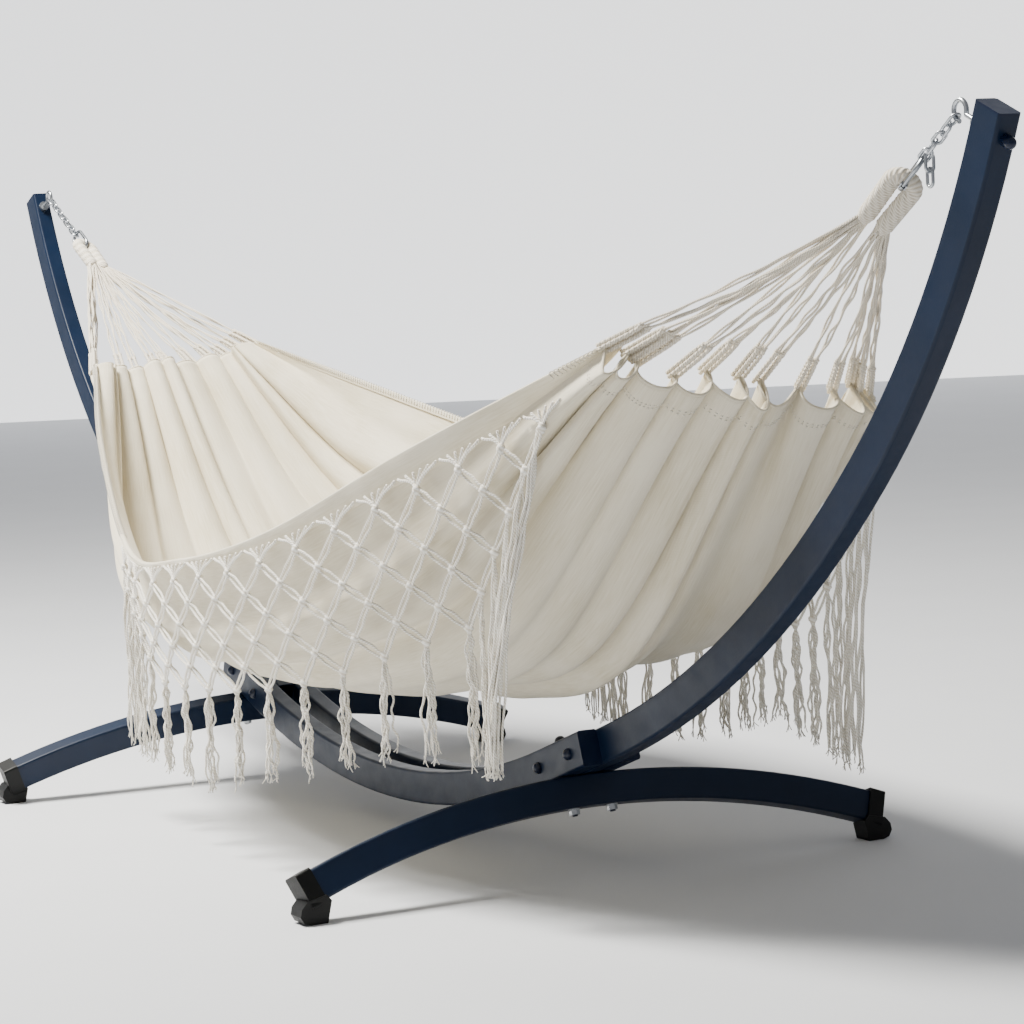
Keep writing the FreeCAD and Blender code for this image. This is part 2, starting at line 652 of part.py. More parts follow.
def make_chain(end):
    """Taut links from the hook to the carabiner, each a quarter turn from the last."""
    frame = line_frame(end)
    count = int(size("links_" + end))
    links = []
    for index in range(count):
        quarter = Rotation(X_AXIS, 90 * (index % 2))
        turn = rolled(end, index / (count - 1)) * quarter
        place = frame * Placement(Vector(first_link() + index * link_step(), 0, 0), turn)
        links.append(link(f"link_{end}_{index}", place))
    keep(group("chain_set_" + end, links), "chain_" + end)


def make_carabiner(end):
    """Carabiner body with its sprung gate between two cheeks; flat in its local XZ plane."""
    frame = line_frame(end)
    place = frame * Placement(Vector(carabiner_centre(end), 0, 0), rolled(end, 1.0) * Rotation(X_AXIS, 90))
    name = "carabiner_" + end
    mean = "Sizes.carabiner_width / 2 - Sizes.carabiner_wire"
    side = size("carabiner_width") / 2 - size("carabiner_wire")
    run = size("carabiner_length") - size("carabiner_width")
    run_text = "Sizes.carabiner_length - Sizes.carabiner_width"
    shapes = []
    for tag, sign in (("a", 1), ("b", -1)):
        turn = place * Placement(Vector(sign * run / 2, 0, 0), Rotation(Z_AXIS, -90 * sign))
        shapes.append(bend(f"{name}_bend_{tag}", mean, "Sizes.carabiner_wire", "180", turn))
        bar = place * Placement(Vector(-run / 2, sign * side, 0), Rotation(Y_AXIS, 90))
        shapes.append(cylinder(f"{name}_bar_{tag}", "Sizes.carabiner_wire", run_text, bar))
    ring = fuse(name + "_ring", shapes)
    gap_at = place * Placement(Vector(-run / 2 - 1, -side, 0), Rotation())
    gap = box(name + "_gap", f"{run_text} + 1.5", "2 * Sizes.carabiner_wire + 1", "2 * Sizes.carabiner_wire + 1",
              gap_at)
    opened = cut(name + "_open", ring, gap)
    cheeks = []
    for tag, z in (("c", 1), ("d", -1)):
        offset = z * (size("gate_wire") + size("cheek_play") + size("cheek") / 2)
        at = place * Placement(Vector(run / 2 - 2 * size("pivot_inset"), -side, offset), Rotation())
        cheeks.append(box(f"{name}_cheek_{tag}", "Sizes.cheek_length", "Sizes.cheek_width",
                          "Sizes.cheek", at))
    pivot = Vector(run / 2 - size("pivot_inset"), -side, 0)
    hole_at = place * Placement(pivot + Vector(0, 0, -8), Rotation())
    hole = cylinder(name + "_pin_hole", "Sizes.gate_pin_hole", "16", hole_at)
    keep(cut(name + "_solid", fuse(name + "_frame", [opened] + cheeks), hole), name)
    gate_at = place * Placement(Vector(-run / 2 - size("gate_play"), -side, 0), Rotation(Y_AXIS, 90))
    rod = cylinder("gate_rod_" + end, "Sizes.gate_wire", f"{run_text} - Sizes.gate_play", gate_at)
    pin_at = place * Placement(pivot + Vector(0, 0, -size("gate_wire") - size("pin_reach")), Rotation())
    pin = cylinder("gate_pin_" + end, "Sizes.gate_pin", "2 * (Sizes.gate_wire + Sizes.pin_reach)", pin_at)
    keep(fuse("gate_solid_" + end, [rod, pin]), "carabiner_gate_" + end)
    return place, pivot


def make_chain_tail():
    """Spare links that hang from the last taut link on the right."""
    frame = line_frame("right")
    count = int(size("links_right"))
    roll = rolled("right", 1.0)
    side = size("link_inside") / 2 + size("link_wire")
    along = first_link() + (count - 1) * link_step() + 0.4
    spot = frame.multVec(Vector(along, 0, 0) + roll.multVec(Vector(0, side, 0)))
    other = frame.multVec(Vector(along, 0, 0) + roll.multVec(Vector(0, -side, 0)))
    hang = spot if spot.z < other.z else other
    top = size("link_wire") / math.cos(math.radians(size("line_slope_right")))
    reach = size("link_pitch") / 2 - top - 3 * size("link_play")
    links = []
    for index in range(int(size("links_tail"))):
        down = reach + index * link_step()
        at = Placement(hang - Vector(0, 0, down), Rotation(Z_AXIS, 90 * ((index + 1) % 2)) * Rotation(X_AXIS, 90)
                       * Rotation(Z_AXIS, 90))
        links.append(link(f"tail_link_{index}", at))
    keep(group("chain_tail_set", links), "chain_tail")
    return hang


# ------------------------------------------------------ loops, cords, tabs

def loop_arc_centre(end):
    """Distance from the hook's ring centre to the middle of the end loop's bend."""
    bow = carabiner_centre(end) + size("carabiner_length") / 2 - size("carabiner_wire")
    return bow + 0.7


def make_end_loop(end):
    """Wrapped loop round the carabiner's bow, with two legs; returns the leg ends near and far."""
    frame = line_frame(end) * Placement(Vector(loop_arc_centre(end), 0, 0), rolled(end, 1.0))
    splay = size("loop_splay")
    mean = size("loop_tube") + size("loop_eye")
    turn = frame * Placement(Vector(), Rotation(Z_AXIS, 90 + splay))
    name = "end_loop_" + end
    shapes = [bend(name + "_bend", "Sizes.loop_tube + Sizes.loop_eye", "Sizes.loop_tube", "180 - 2 * Sizes.loop_splay",
                   turn)]
    ends = []
    for tag, sign in (("a", 1), ("b", -1)):
        start = Vector(-math.sin(math.radians(splay)) * mean, sign * math.cos(math.radians(splay)) * mean, 0)
        along = Vector(math.cos(math.radians(splay)), sign * math.sin(math.radians(splay)), 0)
        leg_at = frame * turned(start, Vector(0, 0, 1), along)
        shapes.append(cylinder(f"{name}_leg_{tag}", "Sizes.loop_tube", "Sizes.loop_leg", leg_at))
        ends.append((frame.multVec(start + along * size("loop_leg")), frame.Rotation.multVec(along)))
    keep(fuse(name + "_solid", shapes), name)
    ends.sort(key=lambda pair: pair[0].y)
    return ends


def steps(row, place):
    """Smooth value at place (-1 to 1) through evenly spaced values, as a Catmull-Rom curve."""
    count = len(row) - 1
    spot = (place + 1) / 2 * count
    index = min(int(spot), count - 1)
    f = spot - index
    b, c = row[index], row[index + 1]
    a = row[index - 1] if index > 0 else 2 * b - c
    d = row[index + 2] if index + 2 <= count else 2 * c - b
    return 0.5 * (2 * b + (c - a) * f + (2 * a - 5 * b + 4 * c - d) * f ** 2 + (3 * b - a - 3 * c + d) * f ** 3)


def point_on(rows, place):
    """Smooth point through a list of points."""
    return Vector(*(steps([row[axis] for row in rows], place) for axis in range(3)))


def cloth_point(along, across):
    """Point of the cloth: along runs from the left end to the right, across from the near rim to the far."""
    near = point_on(NEAR_RIM, along)
    far = point_on(FAR_RIM, along)
    keel = point_on(KEEL, along)
    share = (across + 1) / 2
    base = near * (1 - share) + far * share
    sag = 1 - abs(across) ** size("cloth_fullness")
    depth = (near.z + far.z) / 2 - keel.z
    x = base.x * (1 - sag) + keel.x * sag
    belly = size("cloth_belly")
    if across < 0:
        belly += size("bulge") * math.exp(-((along - size("bulge_at")) / size("bulge_spread")) ** 2)
    y = base.y * (1 + belly * math.sin(math.pi * abs(across)) * sag)
    return Vector(x, y, base.z - depth * sag)


def cloth_normal(along, across):
    """Direction out of the cloth's lower side."""
    h = 0.01
    a = cloth_point(min(along + h, 1), across) - cloth_point(max(along - h, -1), across)
    b = cloth_point(along, min(across + h, 1)) - cloth_point(along, max(across - h, -1))
    return b.cross(a).normalize()


def make_cords(end, leg_ends):
    """Cords from each leg of the loop to the braided tabs along the cloth's end."""
    along = 1 if end == "right" else -1
    count = int(size("cords_per_leg"))
    cords = []
    tabs = []
    for leg, (leg_end, leg_axis) in enumerate(leg_ends):
        sideways = Vector(0, 1, 0) - leg_axis * leg_axis.y
        sideways.normalize()
        upward = leg_axis.cross(sideways)
        for index in range(count):
            total = leg * count + index
            across = -0.97 + 1.94 * total / (2 * count - 1)
            hem = cloth_point(along, across)
            start = leg_end + leg_axis * 0.6 + sideways * ((index - (count - 1) / 2) * 1.25)
            start += upward * (size("cord_rows") * (1 if index % 2 else -1))
            pull = (start - hem).normalize()
            tab_start = hem + pull * size("tab_gap")
            tab_end = tab_start + pull * size("tab_length")
            tag = f"{end}_{total}"
            tabs.append(cylinder("tab_" + tag, "Sizes.tab_radius", "Sizes.tab_length",
                                 Placement(tab_start, Rotation(Z_AXIS, pull))))
            cord = doc.addObject("Part::Cylinder", "cord_" + tag)
            bind(cord, Radius="Sizes.cord_radius")
            cord.Height = (start - tab_end).Length - 0.4
            cord.Placement = Placement(tab_end + pull * 0.4, Rotation(Z_AXIS, pull))
            cords.append(cord)
    keep(group("cord_set_" + end, cords), "cords_" + end)
    keep(group("tab_set_" + end, tabs), "tabs_" + end)


# ------------------------------------------------------------------- cloth

def sheet_solid(name, front, back):
    """Closed thin solid between two grids of points of the same size."""
    faces = []
    for grid in (front, back):
        surface = Part.BSplineSurface()
        surface.interpolate(grid)
        faces.append(surface.toShape())
    for outer_rim, inner_rim in zip(faces[0].Edges, faces[1].Edges):
        faces.append(Part.makeRuledSurface(outer_rim, inner_rim))
    shell = Part.makeShell(faces)
    shell.sewShape(0.01)
    solid = Part.Solid(Part.Shell(shell.Faces))
    if solid.Volume < 0:
        solid.reverse()
    thing = doc.addObject("Part::Feature", name)
    thing.Shape = solid
    return thing


def make_cloth():
    """The bed: one hanging sheet, open at the top and at both ends."""
    thick = size("cloth_thickness")
    outer = []
    inner = []
    for station in range(STATIONS + 1):
        along = -1 + 2 * station / STATIONS
        places = [-1 + 2 * step / ACROSS for step in range(ACROSS + 1)]
        outer.append([cloth_point(along, across) for across in places])
        inner.append([cloth_point(along, across) - cloth_normal(along, across) * thick for across in places])
    keep(sheet_solid("cloth_sheet", outer, inner), "fabric_bed")


def make_fringe(side, rim, net_foot, tips, ends):
    """Knotted net hanging from one long edge, and the row of tassels under it."""
    sign = -1 if side == "near" else 1
    gap = size("net_gap")
    thick = size("net_thickness")
    sections = []
    first, last = ends
    for station in range(STATIONS + 1):
        along = first + (last - first) * station / STATIONS
        top = point_on(rim, along)
        foot = steps(net_foot, along)
        y_in = top.y + sign * gap
        y_out = y_in + sign * thick
        corners = [Vector(top.x, y_in, top.z - 1), Vector(top.x, y_out, top.z - 1),
                   Vector(top.x, y_out, foot), Vector(top.x, y_in, foot)]
        section = doc.addObject("Part::Feature", f"net_section_{side}_{station}")
        section.Shape = Part.makePolygon(corners + corners[:1])
        sections.append(section)
    loft = doc.addObject("Part::Loft", "net_loft_" + side)
    loft.Sections = sections
    loft.Solid = True
    loft.Ruled = True
    keep(loft, "fringe_net_" + side)
    tassels = []
    for index in range(TASSELS):
        along = first + (last - first) * (index + 0.5) / TASSELS
        top = point_on(rim, along)
        high = steps(net_foot, along) - 6
        low = steps(tips, along)
        tassel = doc.addObject("Part::Cylinder", f"tassel_{side}_{index}")
        bind(tassel, Radius="Sizes.tassel_radius")
        tassel.Height = high - low
        tassel.Placement = Placement(Vector(top.x, top.y + sign * (gap + thick / 2), low), Rotation())
        tassels.append(tassel)
    keep(group("tassel_set_" + side, tassels), "tassels_" + side)


# ------------------------------------------------------------------- build

def check_and_export():
    """Stop on any object that failed, then write each sub-part to its own file."""
    doc.recompute()
    for thing in doc.Objects:
        if "Invalid" in thing.State or "Error" in thing.State:
            raise RuntimeError(f"{thing.Name} failed: {thing.State}")
    os.makedirs("parts", exist_ok=True)
    for thing in parts:
        if thing.Shape.isNull() or not thing.Shape.isValid() or thing.Shape.Volume <= 0:
            raise RuntimeError(f"{thing.Label} has no valid shape")
        thing.Shape.exportStep(f"parts/{thing.Label}.step")
    print(len(parts), "sub-parts")


fill_sheet()
make_side_tubes()
make_arms()
make_plugs()
make_feet()
make_foot_caps()
make_joint_bolts()
make_foot_bolts()
make_hooks()
for line_end in ("right", "left"):
    make_chain(line_end)
    gate_place, gate_pivot = make_carabiner(line_end)
    print("gate pivot", line_end, gate_place.multVec(gate_pivot), gate_place.Rotation.multVec(Z_AXIS))
    make_cords(line_end, make_end_loop(line_end))
print("tail pivot", make_chain_tail())
print("ring centre", ring_centre_frame().Base)
make_cloth()
make_fringe("near", NEAR_RIM, NET_FOOT_NEAR, TIP_NEAR, FRINGE_NEAR)
make_fringe("far", FAR_RIM, NET_FOOT_FAR, TIP_FAR, FRINGE_FAR)
check_and_export()
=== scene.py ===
"""Looks of a fringed cotton hammock hanging on an arched steel stand."""

import logging
import math
from dataclasses import dataclass, field
from enum import Enum

import bpy
import numpy as np
from mathutils import Matrix


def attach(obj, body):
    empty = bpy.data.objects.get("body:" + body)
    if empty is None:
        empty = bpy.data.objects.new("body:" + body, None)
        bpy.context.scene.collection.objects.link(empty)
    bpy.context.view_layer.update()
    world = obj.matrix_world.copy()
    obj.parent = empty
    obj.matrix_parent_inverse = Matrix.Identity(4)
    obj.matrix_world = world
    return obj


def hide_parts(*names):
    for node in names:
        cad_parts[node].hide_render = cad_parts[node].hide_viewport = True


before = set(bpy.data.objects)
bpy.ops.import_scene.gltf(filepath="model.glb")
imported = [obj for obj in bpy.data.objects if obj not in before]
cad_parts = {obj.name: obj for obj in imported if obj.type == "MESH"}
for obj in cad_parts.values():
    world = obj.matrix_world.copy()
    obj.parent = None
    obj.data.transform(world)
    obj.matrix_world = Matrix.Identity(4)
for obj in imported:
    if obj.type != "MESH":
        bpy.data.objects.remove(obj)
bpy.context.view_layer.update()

LOG = logging.getLogger("hammock")
MM = 0.001
Rows = tuple[tuple[float, float, float], ...]
Tree = bpy.types.NodeTree
Socket = bpy.types.NodeSocket


# --------------------------------------------------------------- mathematics


def unit(vectors: np.ndarray) -> np.ndarray:
    """Vectors brought to length one along their last axis."""
    return vectors / np.maximum(np.linalg.norm(vectors, axis=-1, keepdims=True), 1e-12)


def smooth_steps(rows: np.ndarray, place: np.ndarray) -> np.ndarray:
    """Values along a smooth curve through evenly spaced rows.

    Formula: Catmull-Rom, a cubic between each two rows whose slope at a row is half the
    difference of its neighbours; past each end the last step is repeated.

    Args:
        rows: the values, one row or one number each.
        place: where to read, from -1 at the first row to 1 at the last.

    Returns:
        One value or row for each place.
    """
    rows = np.asarray(rows, float)
    last = len(rows) - 1
    spot = (np.asarray(place, float) + 1) / 2 * last
    index = np.clip(spot.astype(int), 0, last - 1)
    f = spot - index
    longer = np.concatenate([[2 * rows[0] - rows[1]], rows, [2 * rows[-1] - rows[-2]]])
    a, b, c, d = (longer[index + k] for k in range(4))
    if rows.ndim > 1:
        f = f[..., None]
    return 0.5 * (2 * b + (c - a) * f + (2 * a - 5 * b + 4 * c - d) * f**2 + (3 * b - a - 3 * c + d) * f**3)


def ease(value: np.ndarray, low: float, high: float) -> np.ndarray:
    """Smooth step: 0 below low, 1 above high, and 3t^2 - 2t^3 between them."""
    t = np.clip((np.asarray(value, float) - low) / (high - low), 0, 1)
    return t * t * (3 - 2 * t)


# -------------------------------------------------------------------- meshes


@dataclass
class Surface:
    """One shape as arrays.

    Attributes:
        points: places of the points, (P, 3).
        faces: arrays of point numbers, each (F, corners).
        uvs: for each array of faces, the pattern place of each corner in metres, (F, corners, 2).
    """

    points: np.ndarray
    faces: list[np.ndarray]
    uvs: list[np.ndarray]


def joined(surfaces: list[Surface]) -> Surface:
    """Several surfaces as one, each keeping its own points."""
    faces: list[np.ndarray] = []
    uvs: list[np.ndarray] = []
    offset = 0
    for surface in surfaces:
        faces += [f + offset for f in surface.faces]
        uvs += surface.uvs
        offset += len(surface.points)
    return Surface(np.concatenate([s.points for s in surfaces]), faces, uvs)


def grid_surface(points: np.ndarray, uv: np.ndarray) -> Surface:
    """Open sheet through a grid of points.

    Args:
        points: (rows, columns, 3).
        uv: (rows, columns, 2), the pattern place of each point.

    Returns:
        Quads whose front side is columns' direction crossed with rows' direction.
    """
    rows, cols = points.shape[:2]
    r, c = np.meshgrid(np.arange(rows - 1), np.arange(cols - 1), indexing="ij")
    first = (r * cols + c).reshape(-1)
    quads = np.stack([first, first + 1, first + cols + 1, first + cols], -1)
    return Surface(points.reshape(-1, 3), [quads], [uv.reshape(-1, 2)[quads]])


def ring_faces(count: int, rings: int, sides: int) -> tuple[list[np.ndarray], tuple[np.ndarray, ...]]:
    """Faces of closed bodies built from stacked rings of points.

    Args:
        count: how many bodies.
        rings: rings in each body.
        sides: points in each ring.

    Returns:
        The quads and both end caps, and each quad's body, ring and side numbers.
    """
    k, r, c = np.meshgrid(np.arange(count), np.arange(rings - 1), np.arange(sides), indexing="ij")
    base = (k * rings + r) * sides
    ahead = (c + 1) % sides
    quads = np.stack([base + c, base + ahead, base + sides + ahead, base + sides + c], -1).reshape(-1, 4)
    ring = np.arange(sides)
    first = np.arange(count)[:, None] * rings * sides
    return [quads, first + ring[::-1], first + (rings - 1) * sides + ring], (k, r, c)


def tubes(paths: np.ndarray, radius: np.ndarray | float, sides: int, upright: np.ndarray | None = None,
          relief: np.ndarray | float = 0.0) -> Surface:
    """Round tubes swept along many paths at once, closed at both ends.

    Formula: each ring is the path's point plus radius times (cos t, sin t) in the plane across the
    path; that plane's first axis is the path's direction crossed with a fixed upright vector.

    Args:
        paths: (tubes, rings, 3).
        radius: one number, or (tubes, rings).
        sides: corners of each ring.
        upright: the fixed vector, or None to take the world axis least in line with each tube.
        relief: added to the radius, (tubes, rings, sides).

    Returns:
        The tubes; U runs once round each, V is metres along it.
    """
    count, rings = paths.shape[:2]
    along = unit(np.gradient(paths, axis=1))
    if upright is None:
        chord = np.abs(unit(paths[:, -1] - paths[:, 0]))
        upright = np.eye(3)[np.argmin(chord, axis=-1)][:, None, :]
    first = unit(np.cross(along, np.broadcast_to(upright, along.shape)))
    second = np.cross(along, first)
    angle = np.arange(sides) / sides * 2 * math.pi
    radii = np.broadcast_to(np.asarray(radius, float), (count, rings))[..., None] + relief
    across = first[:, :, None] * np.cos(angle)[:, None] + second[:, :, None] * np.sin(angle)[:, None]
    points = paths[:, :, None] + across * np.broadcast_to(radii, (count, rings, sides))[..., None]
    steps = np.linalg.norm(np.diff(paths, axis=1), axis=-1)
    length = np.concatenate([np.zeros((count, 1)), np.cumsum(steps, 1)], 1)
    faces, (k, r, c) = ring_faces(count, rings, sides)
    u = np.stack([c, c + 1, c + 1, c], -1) / sides
    v = np.stack([length[k, r], length[k, r], length[k, r + 1], length[k, r + 1]], -1)
    flat = np.zeros((count, sides, 2))
    return Surface(points.reshape(-1, 3), faces, [np.stack([u, v], -1).reshape(-1, 4, 2), flat, flat])


def beads(centres: np.ndarray, size: np.ndarray, turns: np.ndarray, sides: int = 10,
          rings: int = 8) -> Surface:
    """Small knots: ellipsoids with two wraps of cord raised on them.

    Formula: at height angle p and turn angle t the radius is 1 + 0.16 sin(2t + 5p), scaled by size
    along the three axes of each bead.

    Args:
        centres: (K, 3).
        size: the three half lengths, (3,).
        turns: each bead's start angle, (K,).
        sides: corners round each bead.
        rings: rings from pole to pole.
    """
    height = np.linspace(-0.96, 0.96, rings) * math.pi / 2
    turn = np.arange(sides) / sides * 2 * math.pi
    p, t = np.meshgrid(height, turn, indexing="ij")
    t = t[None] + turns[:, None, None]
    p = np.broadcast_to(p, t.shape)
    swell = 1 + 0.16 * np.sin(2 * t + 5 * p)
    ball = np.stack([np.cos(p) * np.cos(t), np.cos(p) * np.sin(t), np.sin(p)], -1)
    points = centres[:, None, None] + ball * swell[..., None] * size
    faces, (_, r, c) = ring_faces(len(centres), rings, sides)
    u = np.stack([c, c + 1, c + 1, c], -1) / sides
    v = np.stack([r, r, r + 1, r + 1], -1) * 2 * MM
    flat = np.zeros((len(centres), sides, 2))
    return Surface(points.reshape(-1, 3), faces, [np.stack([u, v], -1).reshape(-1, 4, 2), flat, flat])


def piece(name: str, surface: Surface, material: bpy.types.Material) -> bpy.types.Object:
    """A smooth shaded mesh object at the origin, with its place in its mesh."""
    mesh = bpy.data.meshes.new(name)
    mesh.vertices.add(len(surface.points))
    mesh.vertices.foreach_set("co", surface.points.astype(np.float32).ravel())
    corners = np.concatenate([f.ravel() for f in surface.faces]).astype(np.int32)
    sizes = np.concatenate([np.full(len(f), f.shape[1]) for f in surface.faces])
    mesh.loops.add(len(corners))
    mesh.loops.foreach_set("vertex_index", corners)
    mesh.polygons.add(len(sizes))
    mesh.polygons.foreach_set("loop_start", (np.cumsum(sizes) - sizes).astype(np.int32))
    layer = mesh.uv_layers.new(name="thread")
    places = np.concatenate([w.reshape(-1, 2) for w in surface.uvs])
    layer.data.foreach_set("uv", places.astype(np.float32).ravel())
    mesh.update(calc_edges=True)
    mesh.validate()
    mesh.shade_smooth()
    mesh.materials.append(material)
    made = bpy.data.objects.new(name, mesh)
    bpy.context.scene.collection.objects.link(made)
    return made


def thicken(sheet: bpy.types.Object, thickness: float) -> bpy.types.Object:
    """Gives an open sheet its thickness, on the side away from its normals."""
    solid = sheet.modifiers.new("thickness", "SOLIDIFY")
    solid.thickness = thickness
    solid.offset = -1.0
    return sheet


# ------------------------------------------------------------------ finishes


def linear(code: str) -> tuple[float, float, float, float]:
    """Linear colour of an sRGB hex code such as "#EDE8DC"."""
    parts = [int(code[i : i + 2], 16) / 255 for i in (1, 3, 5)]
    red, green, blue = (p / 12.92 if p <= 0.04045 else ((p + 0.055) / 1.055) ** 2.4 for p in parts)
    return red, green, blue, 1.0


def feed(tree: Tree, node: bpy.types.Node, inputs: dict) -> None:
    """Sets a node's inputs, each to a value or to another node's output."""
    for key, value in inputs.items():
        if isinstance(value, Socket):
            tree.links.new(value, node.inputs[key])
        else:
            node.inputs[key].default_value = value


def add(tree: Tree, kind: str, inputs: dict | None = None, **settings) -> bpy.types.Node:
    """Adds a node with its settings and inputs."""
    made = tree.nodes.new(kind)
    for name, value in settings.items():
        setattr(made, name, value)
    feed(tree, made, inputs or {})
    return made


def noise(tree: Tree, place: Socket, scale: float, detail: float = 2.0, **more: float) -> Socket:
    """Soft random value that changes over about 1 / scale."""
    inputs = {"Vector": place, "Scale": scale, "Detail": detail, **more}
    return add(tree, "ShaderNodeTexNoise", inputs).outputs[0]


def remap(tree: Tree, value: Socket, low: float, high: float, start: float, end: float) -> Socket:
    """Value that runs from start to end while the given one runs from low to high."""
    inputs = {"Value": value, "From Min": low, "From Max": high, "To Min": start, "To Max": end}
    return add(tree, "ShaderNodeMapRange", inputs).outputs[0]


def blend(tree: Tree, share: Socket, first: str, second: str) -> Socket:
    """Colour that goes from the first hex code to the second as the share grows."""
    inputs = {0: share, 6: linear(first), 7: linear(second)}
    return add(tree, "ShaderNodeMix", inputs, data_type="RGBA").outputs[2]


def bump(tree: Tree, height: Socket, strength: float, distance: float) -> Socket:
    """Surface direction tilted by a height's slope."""
    inputs = {"Height": height, "Strength": strength, "Distance": distance}
    return add(tree, "ShaderNodeBump", inputs).outputs[0]


def calc(tree: Tree, operation: str, first: Socket, second: Socket | float = 0.5) -> Socket:
    """Result of one arithmetic step; a sine leaves the second value out."""
    return add(tree, "ShaderNodeMath", {0: first, 1: second}, operation=operation).outputs[0]


def fresh(name: str) -> tuple[bpy.types.Material, Tree, bpy.types.Node]:
    """A new material with an empty Principled shader."""
    material = bpy.data.materials.new(name)
    material.use_nodes = True
    tree = material.node_tree
    tree.nodes.clear()
    shader = add(tree, "ShaderNodeBsdfPrincipled")
    add(tree, "ShaderNodeOutputMaterial", {"Surface": shader.outputs[0]})
    return material, tree, shader


@dataclass(frozen=True)
class Coating:
    """Powder coat on steel: baked polyester powder, which leaves a fine orange peel and a satin gloss.

    Attributes:
        name: the material's name.
        colour: the coat's colour.
        worn: the colour of thin and rubbed places.
        roughness: satin of the flat coat.
        peel_mm: width of an orange peel cell, drawn coarser than the real one so that it shows.
        depth: strength of the peel's relief.
        coat: clear gloss over the colour.
    """

    name: str
    colour: str
    worn: str
    roughness: float = 0.42
    peel_mm: float = 2.5
    depth: float = 0.08
    coat: float = 0.04

    def material(self) -> bpy.types.Material:
        """Colour drifting by a shade over hand widths, roughness by smudges, relief from the peel."""
        material, tree, shader = fresh(self.name)
        place = add(tree, "ShaderNodeTexCoord").outputs["Object"]
        tone = remap(tree, noise(tree, place, 9.0, 3.0), 0.35, 0.75, 0.0, 0.45)
        smudge = noise(tree, place, 31.0, 5.0, Roughness=0.65)
        peel = noise(tree, place, 1000 / self.peel_mm)
        feed(tree, shader, {
            "Base Color": blend(tree, tone, self.colour, self.worn),
            "Roughness": remap(tree, smudge, 0.3, 0.7, self.roughness - 0.05, self.roughness + 0.08),
            "Normal": bump(tree, peel, self.depth, 0.001),
            "Coat Weight": self.coat,
            "Coat Roughness": 0.25,
            "Specular IOR Level": 0.22,
        })
        return material


@dataclass(frozen=True)
class Plating:
    """Zinc plated steel wire: bright metal with a fine spangle and dull handling marks.

    Attributes:
        name: the material's name.
        colour: the plate's colour.
        dull: the colour of its duller patches.
        roughness: mean roughness.
        grain_mm: width of a spangle patch.
    """

    name: str
    colour: str
    dull: str
    roughness: float = 0.28
    grain_mm: float = 3.0

    def material(self) -> bpy.types.Material:
        """Metal whose colour and roughness vary patch by patch."""
        material, tree, shader = fresh(self.name)
        place = add(tree, "ShaderNodeTexCoord").outputs["Object"]
        patch = noise(tree, place, 1000 / self.grain_mm, 4.0)
        feed(tree, shader, {
            "Base Color": blend(tree, patch, self.colour, self.dull),
            "Roughness": remap(tree, patch, 0.0, 1.0, self.roughness - 0.08, self.roughness + 0.14),
            "Normal": bump(tree, patch, 0.05, 0.001),
            "Metallic": 1.0,
        })
        return material


@dataclass(frozen=True)
class Canvas:
    """Unbleached cotton canvas in plain weave: matt, with slubs along the warp and a soft pale sheen.

    Attributes:
        name: the material's name.
        pale: the colour of the yarn.
        warm: the colour of seed flecks and thicker slubs.
        thread_mm: spacing of the threads; the real one is about 0.8 mm, drawn coarser so that it shows.
        depth: strength of the weave's relief.
    """

    name: str
    pale: str = "#E8E0CC"
    warm: str = "#D0C5A8"
    thread_mm: float = 2.2
    depth: float = 0.35

    def material(self) -> bpy.types.Material:
        """Weave from two crossed sine waves on the cloth's own UV, which is in metres."""
        material, tree, shader = fresh(self.name)
        uv = add(tree, "ShaderNodeUVMap", uv_map="thread").outputs[0]
        parts = add(tree, "ShaderNodeSeparateXYZ", {0: uv})
        rate = 2 * math.pi / (self.thread_mm * MM)
        waves = [calc(tree, "SINE", calc(tree, "MULTIPLY", parts.outputs[k], rate)) for k in (0, 1)]
        stretched = add(tree, "ShaderNodeMapping", {"Vector": uv, "Scale": (420.0, 26.0, 1.0)})
        slubs = noise(tree, stretched.outputs[0], 1.0, 3.0)
        tone = remap(tree, calc(tree, "MULTIPLY", slubs, noise(tree, uv, 7.0)), 0.15, 0.42, 0.0, 0.75)
        height = calc(tree, "ADD", calc(tree, "MULTIPLY", *waves), slubs)
        feed(tree, shader, {
            "Base Color": blend(tree, tone, self.pale, self.warm),
            "Normal": bump(tree, height, self.depth, 0.0004),
            "Roughness": 0.92,
            "Sheen Weight": 0.25,
            "Sheen Roughness": 0.5,
            "Specular IOR Level": 0.25,
        })
        return material


@dataclass(frozen=True)
class Yarn:
    """Twisted cotton cord: plies laid round each other, with painted shade darkening the grooves between
    them.

    Attributes:
        name: the material's name.
        pale: the colour of the plies.
        groove_shade: painted shade, the darker colour put between the plies.
        plies: how many plies show round the cord.
        lay_mm: length of one full turn of a ply.
        depth: strength of the plies' relief.
    """

    name: str
    pale: str = "#EDE6D8"
    groove_shade: str = "#CFC3AD"
    plies: int = 3
    lay_mm: float = 12.0
    depth: float = 0.6

    def material(self) -> bpy.types.Material:
        """Height is the sine of plies times the turn, plus the place along over the lay; painted shade
        darkens the colour where the height is low.
        """
        material, tree, shader = fresh(self.name)
        uv = add(tree, "ShaderNodeUVMap", uv_map="thread").outputs[0]
        parts = add(tree, "ShaderNodeSeparateXYZ", {0: uv})
        turns = 2 * math.pi * self.plies
        turn = calc(tree, "MULTIPLY", parts.outputs[0], turns)
        run = calc(tree, "MULTIPLY", parts.outputs[1], turns / (self.lay_mm * MM))
        wave = calc(tree, "SINE", calc(tree, "ADD", turn, run))
        # Painted shade: the colour goes towards the darker groove colour where the wave is low, in the
        # grooves between the plies.
        tone = remap(tree, wave, -1.0, 0.3, 1.0, 0.0)
        feed(tree, shader, {
            "Base Color": blend(tree, tone, self.pale, self.groove_shade),
            "Normal": bump(tree, wave, self.depth, 0.0006),
            "Roughness": 0.9,
            "Sheen Weight": 0.2,
            "Sheen Roughness": 0.5,
            "Specular IOR Level": 0.25,
        })
        return material


